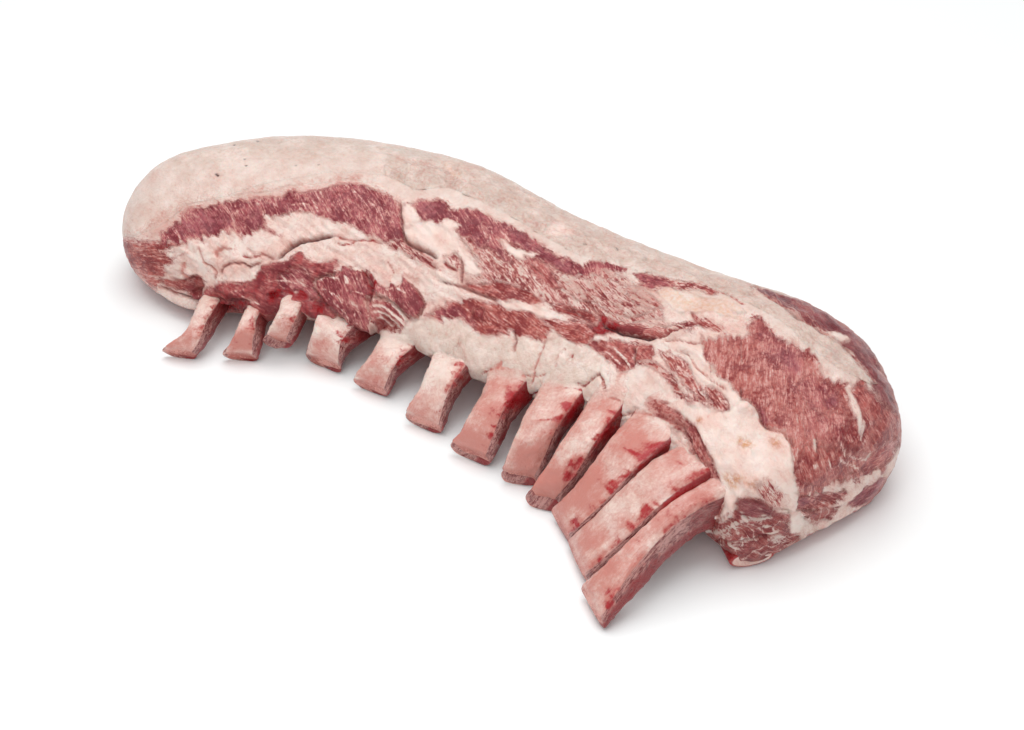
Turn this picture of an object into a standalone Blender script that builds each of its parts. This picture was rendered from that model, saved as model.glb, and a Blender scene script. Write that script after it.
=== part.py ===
"""Raw frenched rack: a curved piece of loin, its fat cap, twelve rib bones and a bone slice, lying fat side up.

Units are metres, +Z up. The rack runs along X, its bones reach towards -Y and its fat cap lies towards +Y.
The origin is under the centre of the whole piece, on the surface that it lies on. Sizes are worked out in
millimetres in the frame of the centre line and made into metres where a mesh is built.
"""

import math

import bmesh
import bpy
import numpy as np
from mathutils import Vector

MM = 0.001
# The centre of the whole piece in the frame of the centre line, in millimetres.
CENTRE_X = -37.34
CENTRE_Y = 4.68

# The centre line in plan, left end to right end: x, y in millimetres.
SPINE = ((-271, -24), (-234, 3), (-180, 27), (-105, 46), (-20, 51), (56, 54), (112, 45), (150, 33), (192, 18))

# Driving sizes at the spine's points, in millimetres: how far the flesh reaches to the back and to the front,
# how high its ridge stands, how high the front edge is held by the bones and how thick that edge is.
BACK_REACH = (28, 47, 70, 71, 62, 61, 74, 75, 51)
FRONT_REACH = (36, 46, 62, 56, 61, 58, 62, 68, 56)
RIDGE_HEIGHT = (62, 77, 83, 86, 82, 82, 86, 81, 68)
FRONT_HEIGHT = (30, 24, 29, 33, 33, 39, 42, 38, 26)
FRONT_THICKNESS = (44, 38, 26, 25, 26, 26, 34, 52, 50)

LEFT_ROUNDING = 42.0
RIGHT_ROUNDING = 14.0
LEFT_SQUARENESS = 2.5
RIGHT_SQUARENESS = 2.2
RIGHT_CLOSING = 0.6
END_CENTRE = 0.50

BODY_RINGS = 58
BODY_SIDES = 50
CURVE_STEPS = 24
GIRTH = 380.0

# Swellings of the surface: millimetres along, place round the girth, half sizes of each in millimetres, height.
SWELLINGS = (
    (70, 0.585, 34, 16, 3.5),
    (118, 0.560, 26, 12, 3.5),
    (48, 0.705, 24, 9, 5.0),
    (168, 0.600, 22, 20, 5.0),
    (205, 0.585, 18, 12, 4.0),
    (205, 0.520, 34, 14, 2.5),
    (268, 0.440, 50, 12, 2.5),
    (300, 0.520, 46, 12, 2.0),
    (340, 0.420, 40, 14, 3.0),
    (390, 0.530, 24, 10, 3.5),
    (438, 0.478, 12, 11, 5.0),
    (420, 0.520, 26, 8, 2.5),
    (440, 0.390, 34, 30, 3.0),
    (452, 0.620, 22, 14, 3.0),
)

# Clefts: depth, half width and points as millimetres along and place round the girth.
CLEFTS = (
    (6.0, 6.0, ((293, 0.459), (313, 0.476), (329, 0.490), (339, 0.500), (364, 0.480), (372, 0.464))),
    (4.0, 5.0, ((96, 0.552), (116, 0.536), (122, 0.517), (132, 0.504), (144, 0.499))),
    (4.0, 5.0, ((182, 0.451), (186, 0.474), (194, 0.491), (214, 0.491), (238, 0.517))),
    (3.5, 6.0, ((391, 0.585), (400, 0.571), (413, 0.558), (427, 0.544), (442, 0.544), (457, 0.566), (465, 0.600))),
    (2.5, 7.0, ((195, 0.290), (199, 0.347), (200, 0.400))),
    (2.5, 7.0, ((130, 0.470), (170, 0.470), (215, 0.440), (262, 0.400), (292, 0.410), (330, 0.395))),
)

# The fat cap: places round the girth of its front and back edges by millimetres along, and its thickness.
CAP_FRONT = (
    (0, 0.575),
    (12, 0.562),
    (30, 0.536),
    (44, 0.501),
    (70, 0.479),
    (93, 0.446),
    (130, 0.410),
    (160, 0.405),
    (182, 0.424),
    (200, 0.394),
    (250, 0.380),
    (292, 0.396),
    (328, 0.385),
    (350, 0.360),
    (407, 0.362),
    (430, 0.347),
    (449, 0.322),
    (462, 0.272),
)
CAP_BACK = ((0, 0.030), (300, 0.030), (330, 0.070), (360, 0.190), (385, 0.268), (425, 0.282), (447, 0.262), (462, 0.240))
CAP_END = 462.0
CAP_MIDDLE = ((0, 9.0), (300, 9.0), (400, 6.0), (462, 3.0))
CAP_EDGE = 2.5
CAP_POINTS = 11
CAP_CLEARANCE = 0.8
CLEARANCE = 0.35

# Rib bones, left to right, in millimetres: x, y, z where each leaves the flesh, x, y, z of its tip, its width
# and how far its saw cut leans from square to the bone (0) to upright (1).
RIBS = (
    (-176, -38, 27, -190, -71, 10, 18, 0.0),
    (-154, -26, 25, -160, -52, 10, 17, 0.0),
    (-130, -20, 36, -136, -36, 17, 18, 0.0),
    (-110, -12, 28, -106, -36, 12, 27, 0.0),
    (-63, -14, 28, -71, -37, 12, 25, 0.0),
    (-31, -10, 31, -28, -43, 11, 28, 0.0),
    (4, -7, 33, 8, -48, 10, 28, 0.0),
    (39, -4, 37, 37, -51, 10, 20, 0.1),
    (63, 0, 41, 59, -58, 10, 20, 0.2),
    (94, -1, 43, 84, -70, 10, 23, 0.3),
    (123, -13, 46, 105, -90, 10, 19, 0.3),
    (147, -30, 46, 124.5, -105, 12, 19, 0.8),
)
RIB_THICKNESS = 16.0
RIB_HIDDEN = 45.0
RIB_SINK = 2.0
# How far the hidden root turns from square to the spine to straight on from the bone.
ROOT_TURN = 0.15
RIB_BEND = 0.62
RIB_STEPS = 6
RIB_SIDES = 10
ROOT_WIDTH = 0.74
ROOT_THICKNESS = 0.76
CORNER = 0.75
# Share of the bend over which the rings lean over to the saw cut.
RIB_CUT_TURN = 0.5

# The bone slice under the right end: middle of its cut face, direction of the bar, half sizes and length.
SLICE_FACE = (168.5, -23.5, 6.2)
SLICE_ANGLE = 140.0
SLICE_HALF = (12.5, 5.6)
SLICE_LENGTH = 30.0
SLICE_SIDES = 20


def along(table, place):
    """The value of a driving size at a place from 0 to 1 along the spine, on a smooth curve."""
    values = np.asarray(table, float)
    count = len(values)
    x = np.clip(place, 0, 1) * (count - 1)
    i = np.clip(np.floor(x).astype(int), 0, count - 2)
    t = x - i
    before = values[np.clip(i - 1, 0, count - 1)]
    start = values[i]
    end = values[i + 1]
    after = values[np.clip(i + 2, 0, count - 1)]
    slope_a = (end - before) / 2
    slope_b = (after - start) / 2
    if values.ndim > 1:
        t = np.asarray(t)[..., None]
    return (
        (2 * t**3 - 3 * t**2 + 1) * start
        + (t**3 - 2 * t**2 + t) * slope_a
        + (-2 * t**3 + 3 * t**2) * end
        + (t**3 - t**2) * slope_b
    )


def between(table, distance):
    """A size that changes evenly between pairs of (millimetres along, size)."""
    xs, ys = zip(*table)
    return float(np.interp(distance, xs, ys))


def closed_curve(keys, steps):
    """Points on a smooth closed curve through the keys."""
    keys = np.asarray(keys, float)
    before = np.roll(keys, 1, axis=0)[:, None]
    start = keys[:, None]
    end = np.roll(keys, -1, axis=0)[:, None]
    later = np.roll(keys, -2, axis=0)[:, None]
    t = (np.arange(steps) / steps)[None, :, None]
    slope_a = (end - before) / 2
    slope_b = (later - start) / 2
    points = (
        (2 * t**3 - 3 * t**2 + 1) * start
        + (t**3 - 2 * t**2 + t) * slope_a
        + (-2 * t**3 + 3 * t**2) * end
        + (t**3 - t**2) * slope_b
    )
    return points.reshape(-1, keys.shape[1])


def section(place):
    """The closed outline of the flesh square to the spine: across (+ is back) and height, in millimetres."""
    back = along(BACK_REACH, place)
    front = along(FRONT_REACH, place)
    ridge = along(RIDGE_HEIGHT, place)
    edge = along(FRONT_HEIGHT, place)
    thick = along(FRONT_THICKNESS, place)
    lip = edge + thick / 2
    under = max(edge - thick / 2, 0)
    keys = (
        (0.70 * back, 0),
        (0.97 * back, 0.26 * ridge),
        (0.98 * back, 0.58 * ridge),
        (0.80 * back, 0.87 * ridge),
        (0.40 * back, 1.0 * ridge),
        (-0.05 * front, 0.955 * ridge),
        (-0.45 * front, lip + (ridge - lip) * 0.56),
        (-0.82 * front, lip + (ridge - lip) * 0.08),
        (-1.0 * front, edge),
        (-0.86 * front, under),
        (-0.50 * front, under * 0.85),
        (-0.18 * front, under * 0.35),
        (0.10 * back, 0),
    )
    curve = closed_curve(keys, CURVE_STEPS)
    curve[:, 1] = np.maximum(curve[:, 1], 0)
    return curve


def cleft_distance(along_mm, round_mm, points):
    """Millimetres from places on the surface to a line of points on it."""
    best = np.full(np.shape(round_mm), 1e9)
    for (s0, g0), (s1, g1) in zip(points, points[1:]):
        a = np.array([s0, g0 * GIRTH])
        d = np.array([s1, g1 * GIRTH]) - a
        t = np.clip(((along_mm - a[0]) * d[0] + (round_mm - a[1]) * d[1]) / (d @ d), 0, 1)
        best = np.minimum(best, np.hypot(along_mm - a[0] - t * d[0], round_mm - a[1] - t * d[1]))
    return best


def relief(distance, girth):
    """How far the surface stands out of the smooth form, in millimetres."""
    round_mm = girth * GIRTH
    out = np.zeros(len(girth))
    for s, g, half_s, half_g, height in SWELLINGS:
        out += height * np.exp(-(((distance - s) / half_s) ** 2) - ((round_mm - g * GIRTH) / half_g) ** 2)
    for depth, half, points in CLEFTS:
        out -= depth * np.exp(-((cleft_distance(distance, round_mm, points) / half) ** 2))
    return out


def spine_table():
    """Places from 0 to 1 and the millimetres along the spine at each."""
    places = np.linspace(0, 1, 801)
    steps = np.linalg.norm(np.diff(along(SPINE, places), axis=0), axis=1)
    return places, np.concatenate([[0], np.cumsum(steps)])


PLACES, LENGTHS = spine_table()
SPINE_LENGTH = LENGTHS[-1]


def spine_frame(place):
    """(point, direction, back direction) of the spine in plan."""
    step = 1e-3
    low = max(place - step, 0.0)
    high = min(place + step, 1.0)
    ahead = along(SPINE, high) - along(SPINE, low)
    direction = ahead / np.linalg.norm(ahead)
    return along(SPINE, place), direction, np.array([-direction[1], direction[0]])


def end_scale(distance):
    """How much smaller the outline is in the rounded ends."""
    left = np.clip(1 - distance / LEFT_ROUNDING, 0, 1)
    right = np.clip(1 - (SPINE_LENGTH - distance) / RIGHT_ROUNDING, 0, 1)
    closing = (1 - RIGHT_CLOSING * right**RIGHT_SQUARENESS) ** (1 / RIGHT_SQUARENESS)
    return (1 - left**LEFT_SQUARENESS) ** (1 / LEFT_SQUARENESS) * closing


def ring(distance, girth, depth=0.0):
    """Points at places round the girth (0 to 1) and a depth under the surface, at millimetres along the spine."""
    place = float(np.interp(distance, LENGTHS, PLACES))
    outline = section(place)
    loop = np.vstack([outline, outline[:1]])
    length = np.concatenate([[0], np.cumsum(np.linalg.norm(np.diff(loop, axis=0), axis=1))])
    girth = np.asarray(girth, float)

    def at(g):
        return np.stack([np.interp((g % 1.0) * length[-1], length, loop[:, k]) for k in range(2)], -1)

    step = 0.006
    ahead = at(girth + step) - at(girth - step)
    outward = np.stack([ahead[:, 1], -ahead[:, 0]], -1)
    outward /= np.linalg.norm(outward, axis=1)[:, None]
    scale = end_scale(distance)
    flat = at(girth) + outward * relief(distance, girth)[:, None]
    flat[:, 1] = np.maximum(flat[:, 1], 0)
    centre = np.array([0.0, along(RIDGE_HEIGHT, place) * END_CENTRE])
    flat = centre + (flat - centre) * scale - outward * np.reshape(depth, (-1, 1))
    point, _, back = spine_frame(place)
    return np.column_stack([point + flat[:, :1] * back, flat[:, 1]])


def ring_distances():
    """Millimetres along the spine, closer together in the rounded ends."""
    left = LEFT_ROUNDING * (1 - np.cos(np.linspace(0.25, math.pi / 2, 8)))
    right = SPINE_LENGTH - RIGHT_ROUNDING * (1 - np.cos(np.linspace(math.pi / 2, 0.0, 5)))
    middle = np.linspace(left[-1], right[0], BODY_RINGS - 11)[1:-1]
    return np.concatenate([left, middle, right])


def clear_scene():
    for obj in list(bpy.data.objects):
        bpy.data.objects.remove(obj)


def material(name, colour, roughness):
    made = bpy.data.materials.new(name)
    made.use_nodes = True
    shader = made.node_tree.nodes["Principled BSDF"]
    shader.inputs["Base Color"].default_value = (*colour, 1)
    shader.inputs["Roughness"].default_value = roughness
    shader.inputs["Metallic"].default_value = 0.0
    return made


def add_tube(mesh, rings):
    """A closed tube through flat rings of points, each the same count, given in millimetres."""
    count = rings.shape[1]
    rows = [[mesh.verts.new(Vector(p) * MM) for p in points] for points in rings]
    for a, b in zip(rows, rows[1:]):
        for k in range(count):
            mesh.faces.new((a[k], a[(k + 1) % count], b[(k + 1) % count], b[k]))
    ends = [mesh.faces.new(rows[0][::-1]), mesh.faces.new(rows[-1])]
    bmesh.ops.triangulate(mesh, faces=ends)


def tubes_object(name, tubes, finish):
    """An object of closed tubes, put so that the origin is under the centre of the whole piece."""
    mesh = bmesh.new()
    for rings in tubes:
        add_tube(mesh, rings)
    bmesh.ops.recalc_face_normals(mesh, faces=mesh.faces)
    data = bpy.data.meshes.new(name)
    mesh.to_mesh(data)
    mesh.free()
    for face in data.polygons:
        face.use_smooth = True
    data.materials.append(finish)
    obj = bpy.data.objects.new(name, data)
    obj.location = (-CENTRE_X * MM, -CENTRE_Y * MM, 0)
    bpy.context.scene.collection.objects.link(obj)
    return obj


def cap_rings(grow=0.0, lift=0.0):
    """Rings of the fat cap: its outer face on the surface, its inner face under it, thinner at both edges."""
    distances = [d for d in ring_distances() if d < CAP_END - 2] + [CAP_END]
    rings = []
    for distance in distances:
        girth = np.linspace(between(CAP_BACK, distance), between(CAP_FRONT, distance), CAP_POINTS)
        bulge = np.sin(np.linspace(0, math.pi, CAP_POINTS)) ** 0.5
        girth[[0, -1]] += np.array([-grow, grow]) / GIRTH
        depth = CAP_EDGE + (between(CAP_MIDDLE, distance) - CAP_EDGE) * bulge
        outer = ring(distance, girth, -lift)
        inner = ring(distance, girth, depth * end_scale(distance) + grow)
        rings.append(np.vstack([outer, inner[::-1]]))
    return np.array(rings)


def cap_recess():
    """The space for the fat cap, a little larger than the cap on its inner sides and open outwards."""
    rings = cap_rings(grow=CAP_CLEARANCE, lift=4.0)
    start = spine_frame(0.0)[1]
    end = spine_frame(float(np.interp(CAP_END, LENGTHS, PLACES)))[1]
    before = rings[:1] - np.array([*start * 4.0, 0])
    after = rings[-1:] + np.array([*end * CAP_CLEARANCE, 0])
    return np.concatenate([before, rings, after])


def rib_rings(row, grow=0.0):
    """Rings round a rib, square to it inside the flesh and leaning over to the saw cut at its tip."""
    root = np.array(row[:3], float)
    tip = np.array(row[3:6], float)
    knee = root + (tip - root) * (RIB_BEND, RIB_BEND, 0) - np.array([0, 0, 2.0])
    nearest = PLACES[np.argmin(np.linalg.norm(along(SPINE, PLACES) - root[:2], axis=1))]
    square = spine_frame(nearest)[2]
    straight = (root - tip)[:2] / np.linalg.norm((root - tip)[:2])
    inward = np.array([*(square * (1 - ROOT_TURN) + straight * ROOT_TURN), 0.0])
    inward /= np.linalg.norm(inward)
    start = root + inward * (RIB_HIDDEN + grow) - np.array([0, 0, RIB_SINK])
    t = np.linspace(0, 1, RIB_STEPS)[:, None]
    bend = root * (1 - t) ** 2 + knee * 2 * t * (1 - t) + tip * t**2
    centres = np.vstack([start[None], (start + root)[None] / 2, bend])
    forward = np.vstack([root - start, root - start, np.gradient(bend, axis=0)])
    forward /= np.linalg.norm(forward, axis=1)[:, None]
    angles = np.arange(RIB_SIDES) * 2 * math.pi / RIB_SIDES
    round_x = np.sign(np.cos(angles)) * np.abs(np.cos(angles)) ** CORNER
    round_z = np.sign(np.sin(angles)) * np.abs(np.sin(angles)) ** CORNER
    swell = np.concatenate([[0, 0], np.clip(t[:, 0] * 2.2, 0, 1)])
    lean = np.concatenate([[0, 0], np.clip((t[:, 0] - 1 + RIB_CUT_TURN) / RIB_CUT_TURN, 0, 1)]) * row[7]
    rings = []
    for centre, ahead, full, turn in zip(centres, forward, swell, lean):
        side = np.cross([0, 0, 1], ahead)
        side /= np.linalg.norm(side)
        square = np.cross(ahead, side)
        up = square * (1 - turn) + np.array([0, 0, 1.0]) * turn
        up /= np.dot(up, square)
        wide = row[6] / 2 * (ROOT_WIDTH + (1 - ROOT_WIDTH) * full) + grow
        high = RIB_THICKNESS / 2 * (ROOT_THICKNESS + (1 - ROOT_THICKNESS) * full) + grow
        rings.append(centre + np.outer(round_x * wide, side) + np.outer(round_z * high, up))
    rings[-1] = rings[-1] + forward[-1] * grow
    return np.array(rings)


def slice_rings(grow=0.0):
    """Rings of the bone slice, a flat oval bar that lies level."""
    turn = math.radians(SLICE_ANGLE)
    inward = np.array([math.cos(turn), math.sin(turn), 0])
    side = np.array([-inward[1], inward[0], 0])
    angles = np.arange(SLICE_SIDES) * 2 * math.pi / SLICE_SIDES
    oval = np.outer(np.cos(angles) * (SLICE_HALF[0] + grow), side)
    oval += np.outer(np.sin(angles) * (SLICE_HALF[1] + grow), [0, 0, 1])
    face = np.array(SLICE_FACE)
    return np.array([face + inward * t + oval for t in (-grow, SLICE_LENGTH / 2, SLICE_LENGTH + grow)])


def cut(obj, cutter):
    """Takes the cutter's space out of the object."""
    cutter.hide_render = True
    cutter.display_type = "WIRE"
    modifier = obj.modifiers.new(f"cut_{cutter.name}", "BOOLEAN")
    modifier.operation = "DIFFERENCE"
    modifier.solver = "MANIFOLD"
    modifier.object = cutter


def main():
    clear_scene()
    lean = material("lean_meat", (0.33, 0.09, 0.11), 0.45)
    fat = material("fat", (0.78, 0.62, 0.55), 0.50)
    bone = material("bone", (0.62, 0.38, 0.34), 0.45)
    girth = np.arange(BODY_SIDES) / BODY_SIDES
    meat = tubes_object("meat", [np.array([ring(d, girth) for d in ring_distances()])], lean)
    tubes_object("fat_cap", [cap_rings()], fat)
    cut(meat, tubes_object("cutter_cap", [cap_recess()], lean))
    for number, row in enumerate(RIBS):
        tubes_object(f"rib_{number + 1:02d}", [rib_rings(row)], bone)
    tubes_object("bone_slice", [slice_rings()], bone)
    cut(meat, tubes_object("cutter_odd_ribs", [rib_rings(row, CLEARANCE) for row in RIBS[::2]], lean))
    cut(meat, tubes_object("cutter_even_ribs", [rib_rings(row, CLEARANCE) for row in RIBS[1::2]], lean))
    cut(meat, tubes_object("cutter_slice", [slice_rings(CLEARANCE)], lean))


main()
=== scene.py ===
"""Looks of a raw rack: loin flesh with its muscles and fat, its fat cap, twelve rib bones and a bone slice.

Tables are in millimetres in the frame of the centre line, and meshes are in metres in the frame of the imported
part. Outlines of muscles, fat and cracks are given as x,y places in the camera's 1024 by 730 view and are
laid onto the surface from there.
"""

import itertools
import logging
import math
from dataclasses import dataclass
from enum import Enum
from functools import cache
from typing import Any, Optional, Sequence, Union

import bpy
import numpy as np
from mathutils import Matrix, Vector


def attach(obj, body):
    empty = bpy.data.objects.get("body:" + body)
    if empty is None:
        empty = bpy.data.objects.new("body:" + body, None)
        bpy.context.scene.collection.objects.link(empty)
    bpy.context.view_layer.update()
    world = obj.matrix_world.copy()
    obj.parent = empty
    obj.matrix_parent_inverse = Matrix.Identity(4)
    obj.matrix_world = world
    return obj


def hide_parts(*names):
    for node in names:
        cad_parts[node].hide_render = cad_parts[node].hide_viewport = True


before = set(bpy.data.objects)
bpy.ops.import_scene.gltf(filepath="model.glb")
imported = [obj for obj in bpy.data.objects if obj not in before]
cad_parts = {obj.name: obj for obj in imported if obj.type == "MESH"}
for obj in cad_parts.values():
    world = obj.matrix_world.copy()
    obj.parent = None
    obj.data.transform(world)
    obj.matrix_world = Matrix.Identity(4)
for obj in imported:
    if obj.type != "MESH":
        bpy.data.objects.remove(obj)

LOG = logging.getLogger("rack")
MM = 0.001
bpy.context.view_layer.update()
GIRTH_MM = 380.0
WET_ROUGHNESS = 0.22
SCATTER = (1.0, 0.4, 0.3)
Array = np.ndarray
Channels = dict[str, Array]
Row = tuple[float, ...]
Colour = tuple[float, float, float]


def tint(red: int, green: int, blue: int) -> Colour:
    """A colour as the eye sees it on a screen, 0 to 255, made linear.

    Args:
        red: Red share.
        green: Green share.
        blue: Blue share.

    Returns:
        The linear colour.
    """
    def linear(value: float) -> float:
        """One linear channel."""
        share = value / 255
        return share / 12.92 if share <= 0.04045 else ((share + 0.055) / 1.055) ** 2.4

    return (linear(red), linear(green), linear(blue))


def smooth(low: float, high: float, value: Array) -> Array:
    """Rises smoothly from 0 at low to 1 at high."""
    t = np.clip((np.asarray(value, float) - low) / (high - low), 0, 1)
    return t * t * (3 - 2 * t)


def curve(before: Array, start: Array, end: Array, after: Array, t: Array) -> Array:
    """A smooth curve from start to end.

    Args:
        before: Point before the start.
        start: Where the curve starts.
        end: Where it ends.
        after: Point after the end.
        t: Shares of the way, 0 to 1.

    Returns:
        The points at the shares.
    """
    return (
        (2 * t**3 - 3 * t**2 + 1) * start
        + (t**3 - 2 * t**2 + t) * (end - before) / 2
        + (-2 * t**3 + 3 * t**2) * end
        + (t**3 - t**2) * (after - start) / 2
    )


def places(text: str) -> Array:
    """Places in the view from a text of x,y pairs."""
    return np.array([[float(part) for part in pair.split(",")] for pair in text.split()])


def line_distance(points: Array, line: Array) -> tuple[Array, Array]:
    """Distance from points to a line of places.

    Args:
        points: Points in the view, one a row.
        line: Places that the line passes through.

    Returns:
        The distance of each point, and how far along the line its nearest place is, from 0 to 1.
    """
    best = np.full(len(points), 1e9)
    share = np.zeros(len(points))
    lengths = np.linalg.norm(np.diff(line, axis=0), axis=1)
    starts = np.concatenate([[0], np.cumsum(lengths)])
    for k, (a, b) in enumerate(zip(line, line[1:])):
        d = b - a
        t = np.clip(((points - a) @ d) / max(d @ d, 1e-9), 0, 1)
        far = np.linalg.norm(points - a - t[:, None] * d, axis=1)
        nearer = far < best
        best = np.where(nearer, far, best)
        share = np.where(nearer, (starts[k] + t * lengths[k]) / starts[-1], share)
    return best, share


def inside_distance(points: Array, outline: Array) -> Array:
    """Signed distance to an outline, above 0 inside it."""
    ring = np.vstack([outline, outline[:1]])
    far, _ = line_distance(points, ring)
    inside = np.zeros(len(points), bool)
    x, y = points[:, 0], points[:, 1]
    for (x0, y0), (x1, y1) in zip(ring, ring[1:]):
        if y0 == y1:
            continue
        crosses = ((y0 > y) != (y1 > y)) & (x < (x1 - x0) * (y - y0) / (y1 - y0) + x0)
        inside ^= crosses
    return np.where(inside, far, -far)


@dataclass(frozen=True)
class Lattice:
    """Smooth noise on a lattice, the same on each run."""

    seed: int = 1

    def sample(self, points: Array) -> Array:
        """Noise from -1 to 1 at points in cells."""
        cell = np.floor(points).astype(np.int64)
        f = points - cell
        f = f * f * (3 - 2 * f)
        total = np.zeros(len(points))
        for corner in itertools.product((0, 1), repeat=3):
            c = cell + np.array(corner)
            h = (c[:, 0] * 73856093) ^ (c[:, 1] * 19349663) ^ (c[:, 2] * 83492791) ^ (self.seed * 2654435)
            h = (h ^ (h >> 13)) & 0x7FFFFFFF
            h = (h * 1274126177) & 0x7FFFFFFF
            h = h ^ (h >> 15)
            value = (h & 0xFFFF) / 32767.5 - 1
            weight = np.prod(np.where(np.array(corner), f, 1 - f), axis=1)
            total += value * weight
        return total

    def clouds(self, points: Array, size: float, octaves: int = 3) -> Array:
        """Layered noise.

        Args:
            points: Points in millimetres.
            size: Size of the largest lumps in millimetres.
            octaves: Number of layers, each half as large as the one before.

        Returns:
            Values from about -1 to 1.
        """
        total = np.zeros(len(points))
        for k in range(octaves):
            total += self.sample(points / size * 2**k + 17.3 * k) * 0.5**k
        return total / 1.6


@dataclass(frozen=True)
class Sight:
    """The camera: where it looks and from where, in millimetres and degrees."""

    target: Row = (37.34, -4.68, 40.0)
    azimuth: float = 35.0
    elevation: float = 40.0
    distance: float = 1100.0
    lens: float = 70.0
    sensor: float = 36.0
    width: int = 1024
    height: int = 730

    def axes(self) -> tuple[Array, Array, Array]:
        """Directions back to the camera, to its right and up in its view."""
        a, e = math.radians(self.azimuth), math.radians(self.elevation)
        back = np.array([math.sin(a) * math.cos(e), -math.cos(a) * math.cos(e), math.sin(e)])
        right = np.array([math.cos(a), math.sin(a), 0.0])
        return back, right, np.cross(back, right)

    def eye(self) -> Array:
        """Where the camera stands."""
        return np.array(self.target) + self.distance * self.axes()[0]

    def project(self, points: Array) -> Array:
        """Places in the view of points in millimetres."""
        back, right, up = self.axes()
        ray = points - self.eye()
        depth = -(ray @ back)
        focal = self.lens / self.sensor * self.width
        across = ray @ right / depth * focal + self.width / 2
        return np.stack([across, self.height / 2 - ray @ up / depth * focal], -1)

    def land(self, view: Array, height: Union[float, Array]) -> Array:
        """Points at a height, in millimetres, that show at places in the view."""
        back, right, up = self.axes()
        focal = self.lens / self.sensor * self.width
        x = (view[:, 0] - self.width / 2) / focal
        y = (self.height / 2 - view[:, 1]) / focal
        ray = -back + x[:, None] * right + y[:, None] * up
        far = (height - self.eye()[2]) / ray[:, 2]
        return self.eye() + ray * far[:, None]

    def facing(self, points: Array, normals: Array) -> Array:
        """Cosine between each normal and the way to the camera."""
        way = self.eye() - points
        way /= np.linalg.norm(way, axis=1)[:, None]
        return (way * normals).sum(1)

    def build(self) -> bpy.types.Object:
        """Makes the scene's camera."""
        data = bpy.data.cameras.new("camera")
        data.lens = self.lens
        data.sensor_width = self.sensor
        data.clip_start = 0.05
        camera = bpy.data.objects.new("camera", data)
        camera.location = self.eye() * MM
        camera.rotation_mode = "QUATERNION"
        camera.rotation_quaternion = Vector(-self.axes()[0]).to_track_quat("-Z", "Y")
        bpy.context.scene.collection.objects.link(camera)
        bpy.context.scene.camera = camera
        return camera


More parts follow.
